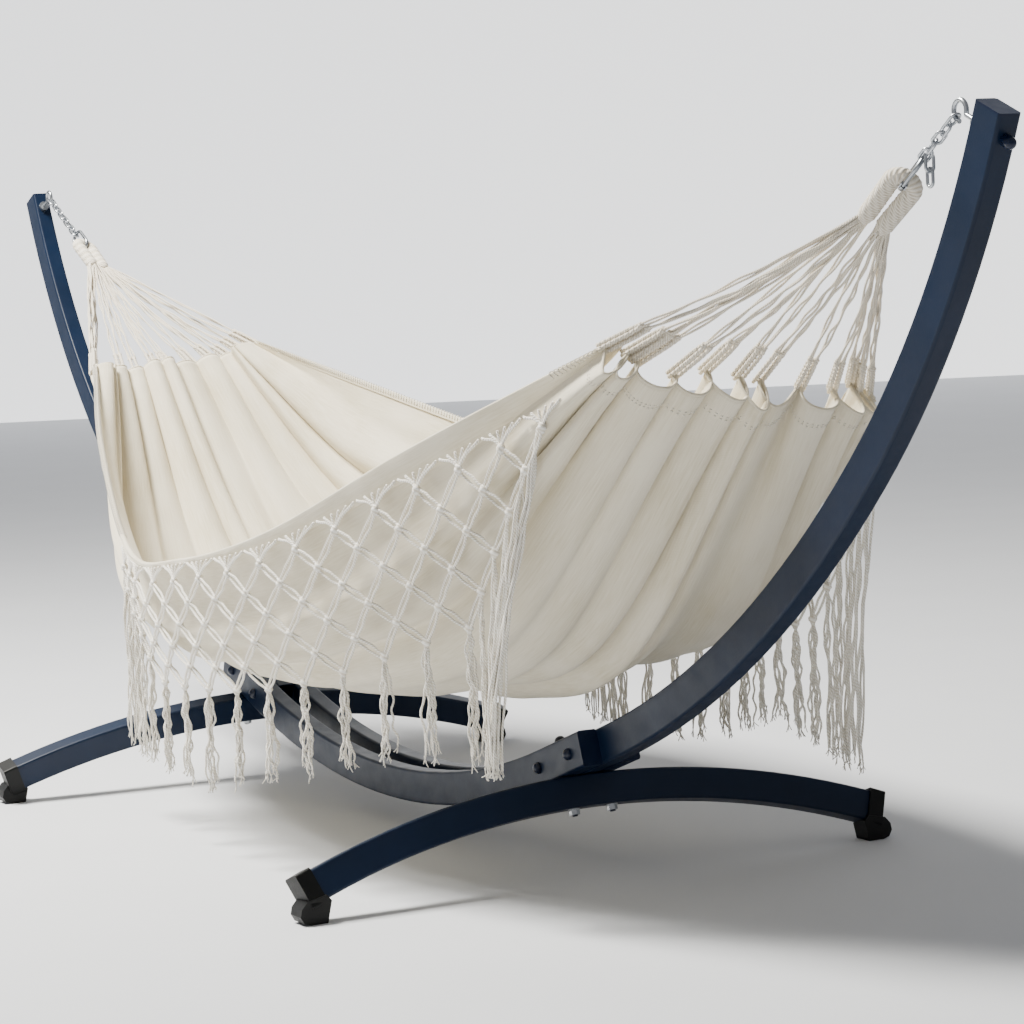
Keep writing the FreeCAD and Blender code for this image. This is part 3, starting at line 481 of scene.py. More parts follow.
class Slot(Enum):
    """The record's material slots."""

    COAT = "blue_powder_coat"
    BLUE_PLASTIC = "blue_plastic"
    BLACK_PLASTIC = "black_plastic"
    FASTENERS = "blue_fasteners"
    ZINC = "zinc_steel"
    CARABINER = "carabiner_steel"
    CANVAS = "cotton_canvas"
    ROPE = "cotton_rope"
    FRINGE = "cotton_fringe"


STEEL_FINISHES = {
    Slot.COAT: Coating("powder_coated_steel", "#08182E", "#0C213D"),
    Slot.BLUE_PLASTIC: Coating("moulded_polypropylene_blue", "#09152C", "#0E1F3A", 0.36, 4.0, 0.04),
    Slot.BLACK_PLASTIC: Coating("moulded_rubber_black", "#040505", "#090A0B", 0.45, 1.6, 0.16, 0.0),
    Slot.FASTENERS: Coating("lacquered_cap_nuts", "#091429", "#0F2142", 0.28, 3.0, 0.04, 0.3),
    Slot.ZINC: Plating("bright_zinc_plate", "#D5D8DC", "#9BA0A6"),
    Slot.CARABINER: Plating("zinc_plate_dull", "#B9BDC2", "#82878D", 0.3),
}


# --------------------------------------------------------------------- stand


def ends(*names: str) -> tuple[str, ...]:
    """Each name with its left and its right node."""
    return tuple(f"{name}_{end}" for name in names for end in ("left", "right"))


def install(made: list[bpy.types.Object], nodes: tuple[str, ...]) -> None:
    """Rides each piece on the hammock, in place of its node."""
    for thing, node in zip(made, nodes):
        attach(thing, "hammock")
        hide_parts(node)
        LOG.info("%s", thing.name)


@dataclass
class Stand:
    """The steel stand and the metal hanging gear: CAD nodes that keep their shape."""

    nodes: dict[Slot, tuple[str, ...]] = field(default_factory=lambda: {
        Slot.COAT: (*ends("arm", "foot_tube"), "side_tube_near", "side_tube_far"),
        Slot.BLUE_PLASTIC: (*ends("arm_cap"), "side_tube_plugs_near", "side_tube_plugs_far"),
        Slot.BLACK_PLASTIC: tuple(f"{name}_{side}" for name in ends("foot_cap") for side in ("near", "far")),
        Slot.FASTENERS: ends("joint_bolts", "joint_nuts", "foot_bolts", "hook_nut"),
        Slot.ZINC: (*ends("hook", "hook_collar", "foot_nuts", "chain"), "chain_tail"),
        Slot.CARABINER: ends("carabiner", "carabiner_gate"),
    })

    def dress(self) -> None:
        """Gives every kept node its finish."""
        for slot, names in self.nodes.items():
            material = STEEL_FINISHES[slot].material()
            for name in names:
                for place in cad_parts[name].material_slots:
                    place.material = material
            LOG.info("%s on %d nodes", material.name, len(names))


# --------------------------------------------------------------------- cloth


@dataclass
class Bed:
    """The cotton bed: a sheet gathered at both ends and sagging between its two long rims.

    Attributes:
        near_rim, far_rim, keel: places of the long edges and of the lowest line, left end to right.
        fullness: how flat the bottom is across; the sag falls as |across| to this power.
        belly: how far the sides swell outwards.
        bulge: extra belly of the near side, its place along and its spread.
        ridges: pleats across each end; a pair of tabs is sewn between each two.
        pleat: depth of the pleats at the ends, of those that run far in, and of the long folds in the middle.
        hem: depth of the end hems.
        thick: thickness of the canvas as built.
        rows, columns: points of the cloth's grid, along and across.
        flat: width and length of the cloth laid flat, metres; not used.
        sewn: place across of the outermost tabs.
        end_scale: metres of cloth for one unit of along, at the ends.
        pattern: metres of the weave's pattern for one unit of across and of along.
    """

    near_rim: Rows = ((-0.877, -0.158, 0.704), (-0.650, -0.240, 0.575), (-0.330, -0.320, 0.425),
                      (0.031, -0.379, 0.439), (0.365, -0.376, 0.500), (0.690, -0.308, 0.622),
                      (1.020, -0.204, 0.749))
    far_rim: Rows = ((-0.887, 0.153, 0.727), (-0.660, 0.260, 0.650), (-0.345, 0.370, 0.560),
                     (0.031, 0.393, 0.510), (0.375, 0.370, 0.528), (0.705, 0.292, 0.587),
                     (1.015, 0.204, 0.663))
    keel: Rows = ((-0.925, 0.0, 0.690), (-0.593, 0.0, 0.345), (-0.263, 0.0, 0.254), (0.067, 0.0, 0.243),
                  (0.397, 0.0, 0.254), (0.727, 0.0, 0.345), (1.055, 0.0, 0.690))
    fullness: float = 2.9
    belly: float = 0.35
    bulge: tuple[float, float, float] = (0.45, -0.6, 0.22)
    ridges: float = 11.0
    pleat: tuple[float, float, float] = (0.024, 0.017, 0.0105)
    hem: float = 0.032
    thick: float = 0.0022
    rows: int = 188
    columns: int = 258
    flat: tuple[float, float] = (1.16, 2.20)
    sewn: float = 0.97
    end_scale: float = 1.18
    pattern: tuple[float, float] = (0.58, 1.12)

    def base(self, along: np.ndarray, across: np.ndarray) -> np.ndarray:
        """Place on the smooth bed.

        Formula: straight across from rim to rim, dropped towards the keel by 1 - |across|^fullness,
        with the sides swollen by belly * sin(pi |across|) times that share.
        """
        near, far, low = (smooth_steps(r, along) for r in (self.near_rim, self.far_rim, self.keel))
        share = ((across + 1) / 2)[..., None]
        line = near * (1 - share) + far * share
        sag = 1 - np.abs(across) ** self.fullness
        depth = (near[..., 2] + far[..., 2]) / 2 - low[..., 2]
        x = line[..., 0] * (1 - sag) + low[..., 0] * sag
        more, middle, spread = self.bulge
        belly = self.belly + np.where(across < 0, more * np.exp(-(((along - middle) / spread) ** 2)), 0.0)
        y = line[..., 1] * (1 + belly * np.sin(math.pi * np.abs(across)) * sag)
        return np.stack([x, y, line[..., 2] - depth * sag], -1)

    def outward(self, along: np.ndarray, across: np.ndarray) -> np.ndarray:
        """Direction out of the bed's lower side, from differences over a small step."""
        h = 0.004
        lengthwise = self.base(along + h, across) - self.base(along - h, across)
        crosswise = self.base(along, across + h) - self.base(along, across - h)
        return unit(np.cross(crosswise, lengthwise))

    def turn(self, across: np.ndarray) -> np.ndarray:
        """Phase of the pleats, unevenly spaced: a whole number of half turns wherever two tabs are sewn."""
        even = across + (0.024 * np.sin(8.3 * across + 0.8) + 0.012 * np.sin(17 * across)) * (1 - across**8)
        return (even + self.sewn) / (2 * self.sewn) * self.ridges * math.pi

    def folds(self, along: np.ndarray, across: np.ndarray) -> np.ndarray:
        """How far the pleats lift the cloth off the smooth bed.

        Formula: near the ends sin^2, one round fold between each two pairs of tabs, outwards at the
        right end and inwards at the left; towards the middle it fades into broad and narrow sine
        folds of uneven width that run along the bed.
        """
        away = 1 - np.abs(along)
        drift = 0.35 * np.sin(2.3 * along + 5 * across) * ease(away, 0.05, 0.6)
        ridge = (np.sin(self.turn(across) + drift) ** 2 - 0.42) * np.tanh(along / 0.2)
        uneven = 1 + 0.28 * np.sin(7.3 * across + 1.9) + 0.22 * np.sin(13.1 * across - 0.7 + along)
        broad = 0.55 * np.sin(15 * across + 1.3 * along + 0.6)
        broad = broad + 0.35 * np.sin(24 * across - 2.1 * along + 2.0)
        bend = 1.4 * np.sin(2.1 * along + 2.0 * across) + 0.9 * along
        narrow = np.sin(44 * across + bend) * (0.62 + 0.38 * np.sin(9 * across + 2.3 * along + 1.0))
        end, far_in, middle = self.pleat
        depth = end * np.exp(-away / 0.16) + far_in * np.exp(-away / 0.55)
        spread = middle + 0.35 * far_in * np.exp(-(((away - 0.5) / 0.35) ** 2))
        lift = depth * ridge * uneven + spread * broad + middle * narrow * ease(away, 0.1, 0.5)
        return lift * (1 - np.abs(across) ** 14)

    def gather(self, along: np.ndarray, across: np.ndarray) -> np.ndarray:
        """Shift of the pleats' flanks round the bed, which makes each fold wider than its foot.

        Formula: -sin(2 turn), plus an uneven lean that grows with the fold's height; both fade with
        the distance from the end.
        """
        away = 1 - np.abs(along)
        turn = self.turn(across)
        fade = (0.5 * np.exp(-away / 0.10) + 0.5 * np.exp(-away / 0.50)) * (1 - np.abs(across) ** 14)
        lean = 0.030 * np.sin(8 * across + 1.0 + 2 * along) * np.sin(turn) ** 2
        return fade * (lean - 0.045 * np.sin(2 * turn))

    def place(self, along: np.ndarray, across: np.ndarray, off: np.ndarray | float = 0.0) -> np.ndarray:
        """Place on the pleated cloth's outer side, moved outwards by off."""
        lift = self.folds(along, across) + off
        shifted = across + self.gather(along, across)
        return self.base(along, shifted) + self.outward(along, shifted) * np.asarray(lift)[..., None]

    def scoop(self, across: np.ndarray) -> np.ndarray:
        """How far the end's edge draws back over each fold, as a share of along."""
        return 0.0035 * np.sin(self.turn(across)) ** 2

    def sheet(self, material: bpy.types.Material) -> bpy.types.Object:
        """The cloth itself, with hems a little thicker along both ends."""
        ends = np.sin(np.linspace(-1, 1, self.rows) * math.pi / 2)
        row = 0.55 * ends + 0.45 * np.linspace(-1, 1, self.rows)
        col = np.linspace(-1, 1, self.columns)
        along, across = np.meshgrid(row, col, indexing="ij")
        along = along * (1 - self.scoop(across) * ease(np.abs(along), 0.9, 1.0))
        reach = (1 - np.abs(along)) * self.end_scale
        doubled = 0.0011 * (1 - ease(reach, self.hem - 0.002, self.hem + 0.002))
        seam = -0.0009 * np.exp(-(((reach - self.hem + 0.003) / 0.0018) ** 2))
        points = self.place(along, across, doubled + seam)
        uv = np.stack([across * self.pattern[0], along * self.pattern[1]], -1)
        return thicken(piece("canvas_bed", grid_surface(points, uv), material), self.thick)

    def rim_frame(self, side: int, along: np.ndarray) -> tuple[np.ndarray, np.ndarray, np.ndarray]:
        """Edge points, directions down the cloth and outward directions along one rim (-1 near, 1 far)."""
        edge = self.place(along, np.full_like(along, side * 1.0))
        inner = self.place(along, np.full_like(along, side * 0.955))
        down = unit(inner - edge)
        return edge, down, self.outward(along, np.full_like(along, side * 0.97))


@dataclass
class Edging:
    """The long edges: a rolled selvedge with an outer flap that carries the fringe, and its stitches.

    Attributes:
        bed: the cloth.
        wide: width of the outer flap at its widest.
        narrow: its width where it is only a rolled edge.
        inner: width of the turned-in strip on the inside.
        core: half the thickness of the rolled edge.
        rim_mm: length of rim for one unit of along.
        stitch_mm: distance between the stitches over the plain edges.
    """

    bed: Bed
    wide: float = 0.040
    narrow: float = 0.009
    inner: float = 0.011
    core: float = 0.0034
    rim_mm: float = 1150.0
    stitch_mm: float = 7.0

    def width(self, along: np.ndarray) -> np.ndarray:
        """Width of the flap, growing from the left end to the right on both sides."""
        return self.narrow + (self.wide - self.narrow) * ease(along, 0.0, 0.85)

    def roll(self, side: int, material: bpy.types.Material) -> bpy.types.Object:
        """The folded strip over one rim.

        Formula: a profile of points given by distance down the cloth and distance outwards, carried
        along the rim; the flap's lower half bows out softly.
        """
        along = np.linspace(-0.998, 0.998, 260)
        edge, down, out = self.bed.rim_frame(side, along)
        wide = self.width(along)[:, None]
        t = np.linspace(0, 1, 9)[None]
        ones = np.ones_like(wide)
        inside_down = ones * self.inner * (1 - t)
        inside_out = np.full_like(inside_down, -self.core)
        turn = np.linspace(math.pi, 0, 9)[None]
        over_down = -0.0022 * np.sin(turn) * ones
        over_out = self.core * np.cos(turn) * ones
        outside_down = wide * t
        outside_out = ones * (self.core + 0.0022 * np.sin(math.pi * t) - 0.0012 * t)
        ripple = 0.0012 * np.sin(along * 70)[:, None] * t + 0.0008 * np.sin(along * 31 + 2)[:, None] * t
        far_down = np.concatenate([inside_down, over_down[:, 1:-1], outside_down], 1)
        far_out = np.concatenate([inside_out, over_out[:, 1:-1], outside_out + ripple], 1)
        points = edge[:, None] + down[:, None] * far_down[..., None] + out[:, None] * far_out[..., None]
        span = np.cumsum(np.linalg.norm(np.diff(points, axis=1, prepend=points[:, :1]), axis=-1), 1)
        uv = np.stack([span, np.broadcast_to(along[:, None] * self.bed.pattern[1], span.shape)], -1)
        if side > 0:
            points, uv = points[:, ::-1], uv[:, ::-1]
        name = "selvedge_near" if side < 0 else "selvedge_far"
        return thicken(piece(name, grid_surface(points, uv), material), self.bed.thick / 2)

    def hem_rolls(self, material: bpy.types.Material) -> bpy.types.Object:
        """The rounded, folded-over edge of both end hems."""
        across = np.linspace(-0.995, 0.995, 700)
        paths = [self.bed.place(end * (1 - self.bed.scoop(across)), across, 0.0003) for end in (-1, 1)]
        return piece("hem_rolls", tubes(np.stack(paths), 0.0021, 8), material)

    def hem_stitches(self, material: bpy.types.Material) -> bpy.types.Object:
        """Twin rows of stitches along both end hems: short thread humps a stitch apart."""
        dashes = []
        for end in (-1, 1):
            for depth in (self.bed.hem - 0.001, self.bed.hem - 0.005):
                across = np.linspace(-0.985, 0.985, 190)
                turn = np.stack([across - 0.0021, across, across + 0.0021], -1)
                along = np.full_like(turn, end * (1 - depth / self.bed.end_scale))
                along = along * (1 - self.bed.scoop(turn) * 0.83)
                dashes.append(self.bed.place(along, turn, np.array([0.0004, 0.0012, 0.0004])))
        paths = np.concatenate(dashes)
        return piece("hem_stitches", tubes(paths, np.array([0.0004, 0.0008, 0.0004])[None], 5), material)

    def edge_stitches(self, material: bpy.types.Material) -> bpy.types.Object:
        """Over-and-over stitches round the plain ends of both rims."""
        loops = []
        stretches = ((-1, -0.99, -0.40), (1, -0.99, -0.30), (1, 0.968, 0.995), (-1, 0.925, 0.995))
        for side, first, last in stretches:
            count = max(2, int((last - first) * self.rim_mm / self.stitch_mm))
            along = np.linspace(first, last, count)
            edge, down, out = self.bed.rim_frame(side, along)
            turn = np.linspace(-0.15, 1.15, 9) * math.pi
            depth = (0.0075 * (1 - np.sin(turn)) - 0.0036)[None, :, None]
            sideways = (0.0046 * -np.cos(turn))[None, :, None]
            slant = unit(np.gradient(edge, axis=0))[:, None] * (0.0022 * np.cos(turn))[None, :, None]
            loops.append(edge[:, None] + down[:, None] * depth + out[:, None] * sideways + slant)
        return piece("edge_stitches", tubes(np.concatenate(loops), 0.0007, 5), material)


# --------------------------------------------------------------- suspension


@dataclass
class Suspension:
    """One end's hanging line: wrapped loop, cords and braided tabs.

    Attributes:
        bed: the cloth.
        right: True for the right end.
        hook: the middle of the hook's ring.
        slope: angle of the line below level, degrees.
        roll: turn about the line, degrees.
        arc_at: distance from the hook's ring to the middle of the loop's bend.
        tube: radius of the wrapped loop.
        eye: half the gap that the carabiner goes through.
        splay: angle between each leg and the line, degrees.
        leg: length of each leg.
        per_leg: cords from each leg.
        tab_length: length of each tab, from the hem to its knot.
    """

    bed: Bed
    right: bool
    slope: float
    roll: float
    arc_at: float
    hook: tuple[float, float, float] = (1.5105, 0.0, 1.0085)
    tube: float = 0.0105
    eye: float = 0.0042
    splay: float = -1.5
    leg: float = 0.076
    per_leg: int = 12
    tab_length: float = 0.064

    @property
    def tag(self) -> str:
        """The end's name."""
        return "right" if self.right else "left"

    def axes(self) -> tuple[np.ndarray, np.ndarray]:
        """Middle of the loop's bend, and the line's three axes as rows, after its roll."""
        sine, cosine = math.sin(math.radians(self.slope)), math.cos(math.radians(self.slope))
        rows = np.array([[-cosine, 0, -sine], [0, -1, 0], [-sine, 0, cosine]])
        start = np.array(self.hook)
        if not self.right:
            turn = np.diag([-1.0, -1.0, 1.0])
            rows, start = rows @ turn, turn @ start
        angle = math.radians(self.roll if self.right else -self.roll)
        y = rows[1] * math.cos(angle) + rows[2] * math.sin(angle)
        z = -rows[1] * math.sin(angle) + rows[2] * math.cos(angle)
        return start + rows[0] * self.arc_at, np.stack([rows[0], y, z])

    def legs(self) -> list[tuple[np.ndarray, np.ndarray]]:
        """End and direction of both legs, the nearer one first."""
        centre, (x, y, z) = self.axes()
        sine, cosine = math.sin(math.radians(self.splay)), math.cos(math.radians(self.splay))
        mean = self.tube + self.eye
        found = []
        for sign in (1, -1):
            start = centre + x * (-sine * mean) + y * (sign * cosine * mean)
            direction = x * cosine + y * (sign * sine)
            found.append((start + direction * self.leg, direction))
        return sorted(found, key=lambda pair: pair[0][1])

    def loop(self, material: bpy.types.Material) -> bpy.types.Object:
        """The wrapped loop.

        Formula: a tube down one leg, round the bend and up the other; its radius rises by the
        absolute sine of the wraps, which slant both ways as a herringbone, and by a plaited ridge
        on the outside.
        """
        centre, (x, y, z) = self.axes()
        splay = math.radians(self.splay)
        mean = self.tube + self.eye
        turn = np.linspace(math.pi / 2 + splay, 3 * math.pi / 2 - splay, 40)
        bend = centre + mean * (x * np.cos(turn)[:, None] + y * np.sin(turn)[:, None])
        run = np.linspace(self.leg, 0.001, 90)[:, None]
        out_leg = bend[0] + (x * math.cos(splay) + y * math.sin(splay)) * run
        back_leg = bend[-1] + (x * math.cos(splay) - y * math.sin(splay)) * run[::-1]
        path = np.concatenate([out_leg, bend, back_leg])
        sides = 24
        length = np.concatenate([[0], np.cumsum(np.linalg.norm(np.diff(path, axis=0), axis=-1))])
        angle = np.arange(sides) / sides * 2 * math.pi
        s, t = np.meshgrid(length, angle, indexing="ij")
        slant = np.abs((t / math.pi) % 2 - 1)
        wraps = 0.0013 * np.abs(np.sin(math.pi * (s / 0.0052 + 1.6 * slant))) ** 0.8
        beat = 0.75 + 0.25 * np.sin(2 * math.pi * s / 0.0075)
        ridge = 0.0016 * np.exp(-(((t - math.pi) / 0.42) ** 2)) * beat
        to_end = np.minimum(s, length[-1] - s)
        taper = 1 - 0.22 * (1 - ease(to_end, 0.0, 0.012))
        radius = (self.tube - 0.0010) * taper[:, :1].T
        made = tubes(path[None], radius, sides, upright=z, relief=(wraps + ridge)[None] * taper[None])
        return piece(f"wrapped_loop_{self.tag}", made, material)

    def hem_places(self) -> np.ndarray:
        """Where the tabs leave the hem: in pairs, side by side between two folds."""
        pair, half = np.divmod(np.arange(2 * self.per_leg), 2)
        fine = np.linspace(-1, 1, 801)
        across = np.interp(pair * math.pi, self.bed.turn(fine), fine)
        along = np.full_like(across, 1.0 if self.right else -1.0)
        sideways = unit(self.bed.base(along, across + 0.01) - self.bed.base(along, across - 0.01))
        return self.bed.place(along, across, -self.bed.thick / 2) + sideways * ((half - 0.5) * 0.010)[:, None]

    def cord_tops(self) -> np.ndarray:
        """Where the cords leave the two legs' ends, in two staggered rows each."""
        tops = []
        for end, direction in self.legs():
            sideways = unit(np.array([0.0, 1.0, 0.0]) - direction * direction[1])
            upward = np.cross(direction, sideways)
            index = np.arange(self.per_leg)
            place = (index - (self.per_leg - 1) / 2) * 0.00125
            row = 0.0022 * np.where(index % 2, 1, -1)
            tops.append(end - direction * 0.004 + sideways * place[:, None] + upward * row[:, None])
        return np.concatenate(tops)

    def tabs(self, material: bpy.types.Material) -> bpy.types.Object:
        """Braided tabs: two plaited legs side by side that meet in a loop at the top.

        Formula: one path goes up one leg, over a half circle and down the other; its radius swells
        with the product of two crossing sines, as a plait does.
        """
        hem, top = self.hem_places(), self.cord_tops()
        pull = unit(top - hem)
        middle = hem.mean(0)
        sideways = unit(np.cross(pull, unit(hem - middle)))
        run = np.linspace(-0.006, self.tab_length - 0.004, 34)
        half = 0.0031
        turn = np.linspace(0, math.pi, 9)[1:-1]
        up = np.concatenate([run, run[-1] + half * np.sin(turn), run[::-1]])
        out = np.concatenate([np.full_like(run, half), half * np.cos(turn), np.full_like(run, -half)])
        pinch = 1 - 0.35 * ease(up, self.tab_length - 0.022, self.tab_length)
        paths = hem[:, None] + pull[:, None] * up[None, :, None]
        paths = paths + sideways[:, None] * (out * pinch)[None, :, None]
        sides = 10
        length = np.cumsum(np.linalg.norm(np.diff(paths, axis=1, prepend=paths[:, :1]), axis=-1), 1)
        angle = np.arange(sides) / sides * 2 * math.pi
        s, t = length[:, :, None], angle[None, None]
        run = 2 * math.pi * s / 0.0085
        plait = 0.0005 * (np.sin(run + 2 * t) + np.sin(run - 2 * t))
        legs = tubes(paths, 0.0026, sides, upright=np.cross(pull, sideways)[:, None], relief=plait)
        knots = beads(hem + pull * (self.tab_length - 0.001), np.full(3, 0.0042), np.arange(len(hem)) * 1.7)
        return piece(f"braided_tabs_{self.tag}", joined([legs, knots]), material)

    def cords(self, material: bpy.types.Material) -> bpy.types.Object:
        """Doubled cords from the loop to the tabs.

        Formula: straight from leg to tab, sagging as t(1 - t), with its two strands turning slowly
        round each other and a small seeded wander.
        """
        dice = np.random.default_rng(7 if self.right else 8)
        hem, top = self.hem_places(), self.cord_tops()
        pull = unit(top - hem)
        low = hem + pull * (self.tab_length - 0.002)
        count, rings = len(hem), 30
        t = np.linspace(0, 1, rings)[None, :, None]
        line = low[:, None] * (1 - t) + top[:, None] * t
        bow = dice.uniform(0.0, 0.010, (count, 1, 1)) * 4 * t * (1 - t)
        line = line - np.array([0, 0, 1.0]) * bow
        drift = dice.uniform(-0.004, 0.004, (count, 1, 3)) * np.sin(math.pi * t)
        wander = dice.uniform(0, 2 * math.pi, (count, 1, 3))
        line = line + drift + 0.0007 * np.sin(wander + t * 31) * np.sin(math.pi * t)
        side_a = unit(np.cross(pull, np.array([0, 0, 1.0])))[:, None]
        side_b = np.cross(pull[:, None], side_a)
        phase = dice.uniform(0, 2 * math.pi, (count, 1, 1)) + t * dice.uniform(5, 11, (count, 1, 1))
        apart = 0.0016 + 0.0008 * np.sin(t * 17 + wander[..., :1])
        turn = side_a * np.cos(phase) + side_b * np.sin(phase)
        strands = np.concatenate([line + turn * apart, line - turn * apart])
        return piece(f"bundle_cords_{self.tag}", tubes(strands, 0.0016, 7), material)

    def build(self, material: bpy.types.Material) -> None:
        """Makes the three pieces, rides them on the hammock and hides the nodes that they stand for."""
        made = [self.loop(material), self.cords(material), self.tabs(material)]
        install(made, (f"end_loop_{self.tag}", f"cords_{self.tag}", f"tabs_{self.tag}"))


# -------------------------------------------------------------------- fringe


@dataclass
class Fringe:
    """Knotted fringe along one rim: fans of strands, a net of doubled cords, and tassels.

    Attributes:
        edging: the flap that it is sewn to.
        side: -1 for the near rim, 1 for the far one.
        first: along value of the first knot at the right.
        steps: how along falls for each knot and for each knot squared.
        knots: knots in the top row.
        rows: rows of knots.
        drop: height of the fans.
        cell: height of one row, and how it changes for each knot leftwards.
        lean: share of the depth by which the net leans in under the bed.
        turn_in: knots after which the steps turn even.
        gathered: how far the right border's strands draw together towards its lowest knot, 0 to 1.
        tips: heights of the tassels' tips, left end of the hammock to right.
        seed: start of the random draws.
    """

    edging: Edging
    side: int
    first: float
    steps: tuple[float, float]
    cell: tuple[float, float]
    tips: tuple[float, ...]
    knots: int = 15
    rows: int = 6
    drop: float = 0.022
    lean: float = 0.137
    turn_in: float = 12.0
    gathered: float = 0.9
    seed: int = 3

    @property
    def tag(self) -> str:
        """The rim's name."""
        return "near" if self.side < 0 else "far"

    def along(self, order: np.ndarray) -> np.ndarray:
        """Place along the hammock of a knot counted from the right."""
        held = np.minimum(order, self.turn_in)
        return self.first - self.steps[0] * held - self.steps[1] * held**2 - 0.05 * (order - held)

    def hang(self, along: np.ndarray, depth: np.ndarray, sunk: np.ndarray | float = 0.0) -> np.ndarray:
        """Point of the net's surface: straight down from the flap, leaning in by a share of its depth."""
        bed = self.edging.bed
        edge = bed.place(along, np.full_like(along, self.side * 1.0))
        inward = -self.side * self.lean * depth * sunk
        return edge + np.stack([0 * depth, inward + self.side * 0.0065, -depth], -1)

    def knot_places(self, order: np.ndarray, row: np.ndarray) -> np.ndarray:
        """Middles of the knots: order counts from the right in half steps, row from the top."""
        count = order + row / 2
        along = self.along(count)
        depth = self.edging.width(along) + self.drop + row * (self.cell[0] - self.cell[1] * count)
        return self.hang(along, depth, row / (self.rows - 1))

    def rows_of_knots(self) -> list[np.ndarray]:
        """The places of each row's knots, top row first, right to left."""
        return [self.knot_places(np.arange(self.knots - k, dtype=float), np.full(self.knots - k, float(k)))
                for k in range(self.rows)]

    def strands(self, start: np.ndarray, end: np.ndarray, apart: float, bow: float, rings: int,
                dice: np.random.Generator) -> np.ndarray:
        """Pairs of strands from start to end, bowed apart by a half sine and wandering a little."""
        t = np.linspace(0, 1, rings)[None, :, None]
        line = start[:, None] * (1 - t) + end[:, None] * t
        out = np.array([0.0, self.side, 0.0])
        sideways = unit(np.cross(end - start, out))[:, None]
        waves = dice.uniform(0, 2 * math.pi, (2, len(start), 1, 1))
        arch = np.sin(math.pi * t)
        spread = [sign * (apart + bow * arch) + 0.0007 * np.sin(w + t * 15) * arch
                  for sign, w in zip((1, -1), waves)]
        off = 0.0008 * np.sin(waves[0] + 9 * t) * arch
        return np.concatenate([line + sideways * s + out * off for s in spread])

    def net(self, material: bpy.types.Material) -> bpy.types.Object:
        """Fans, doubled cords between the knots, and the knots."""
        dice = np.random.default_rng(self.seed)
        rows = self.rows_of_knots()
        rings = 9
        cords = []
        for above, below in zip(rows, rows[1:]):
            for start in (above[:-1], above[1:]):
                cords.append(self.strands(start, below, 0.0021, 0.0030, rings, dice))
        fan = np.linspace(-0.46, 0.46, 6)
        order = (np.arange(self.knots, dtype=float)[:, None] + fan).ravel()
        along = self.along(order)
        sewn = self.hang(along, self.edging.width(along) - 0.003)
        sewn[:, 1] -= self.side * 0.0015
        knots = np.repeat(rows[0], len(fan), axis=0)
        t = np.linspace(0, 1, rings)[None, :, None]
        lift = np.abs(np.tile(fan, self.knots))[:, None, None] * 2
        path = sewn[:, None] * (1 - t) + knots[:, None] * t
        path[..., 2] += (0.010 * lift * np.sin(math.pi * t) * t)[..., 0]
        cords.append(path)
        every = np.concatenate(rows)
        turns = dice.uniform(0, 6, len(every))
        knots = beads(every, np.array([0.0068, 0.0056, 0.0072]), turns)
        shapes = [tubes(np.concatenate(cords), 0.0019, 7), knots]
        return piece(f"knotted_net_{self.tag}", joined(shapes), material)

    def tassels(self, material: bpy.types.Material) -> bpy.types.Object:
        """Tassels under the lowest knots, and the long strands that fall from the net's two borders.

        Formula: each strand falls from its knot, spreading a little, with two slow sines of seeded
        phase; those of the right border also drift towards its lowest knot. Three thin fibres
        spread from each tip.
        """
        dice = np.random.default_rng(self.seed + 1)
        rows = self.rows_of_knots()
        right = np.repeat([r[0] for r in rows[:-1]], 5, axis=0)
        left = np.repeat([r[-1] for r in rows[:-1]], 5, axis=0)
        tops = np.concatenate([right, np.repeat(rows[-1], 7, axis=0), left])
        drawn = np.zeros((len(tops), 2))
        drawn[: len(right)] = (rows[-2][0] - right)[:, :2] * self.gathered
        count, rings = len(tops), 30
        low = smooth_steps(np.array(self.tips), np.clip((tops[:, 0] + drawn[:, 0]) / 0.98, -1, 1))
        low = np.minimum(low + dice.uniform(-0.006, 0.018, count), tops[:, 2] - 0.05)
        t = np.linspace(0, 1, rings)[None]
        height = tops[:, 2, None] * (1 - t) + low[:, None] * t
        phase = dice.uniform(0, 2 * math.pi, (4, count, 1))
        wave = np.stack([0.0026 * np.sin(phase[0] + 13 * t) + 0.0012 * np.sin(phase[1] + 33 * t),
                         0.0026 * np.sin(phase[2] + 11 * t) + 0.0012 * np.sin(phase[3] + 29 * t)])
        spread = dice.normal(0, 0.0038, (2, count, 1)) * (0.45 + 0.8 * t)
        drift = drawn.T[:, :, None] * ease(t, -0.2, 1.0)
        flat = tops.T[:2, :, None] + drift + (wave + spread) * ease(t, 0.0, 0.15)
        paths = np.concatenate([flat, height[None]]).transpose(1, 2, 0)
        radius = 0.0016 * (1 + 0.15 * np.sin(phase[0] + 60 * t)) * (1 - 0.35 * ease(t, 0.93, 1.0))
        tip = np.repeat(paths[:, -1], 3, axis=0)
        aside = dice.normal(0, 0.0030, (2, len(tip)))
        loose = np.stack([*aside, -dice.uniform(0.005, 0.014, len(tip))], -1)
        f = np.linspace(-0.3, 1, 6)[None, :, None]
        fibres = tip[:, None] + loose[:, None] * np.sign(f) * np.abs(f) ** np.array([1.5, 1.5, 1.0])
        shapes = [tubes(paths, radius, 6), tubes(fibres, 0.0007, 4)]
        return piece(f"tassel_strands_{self.tag}", joined(shapes), material)

    def build(self, material: bpy.types.Material) -> list[bpy.types.Object]:
        """Makes the net and the tassels, rides them on the hammock and hides the nodes that they stand for.
        """
        made = [self.net(material), self.tassels(material)]
        install(made, (f"fringe_net_{self.tag}", f"tassels_{self.tag}"))
        return made


# -------------------------------------------------------------------- studio


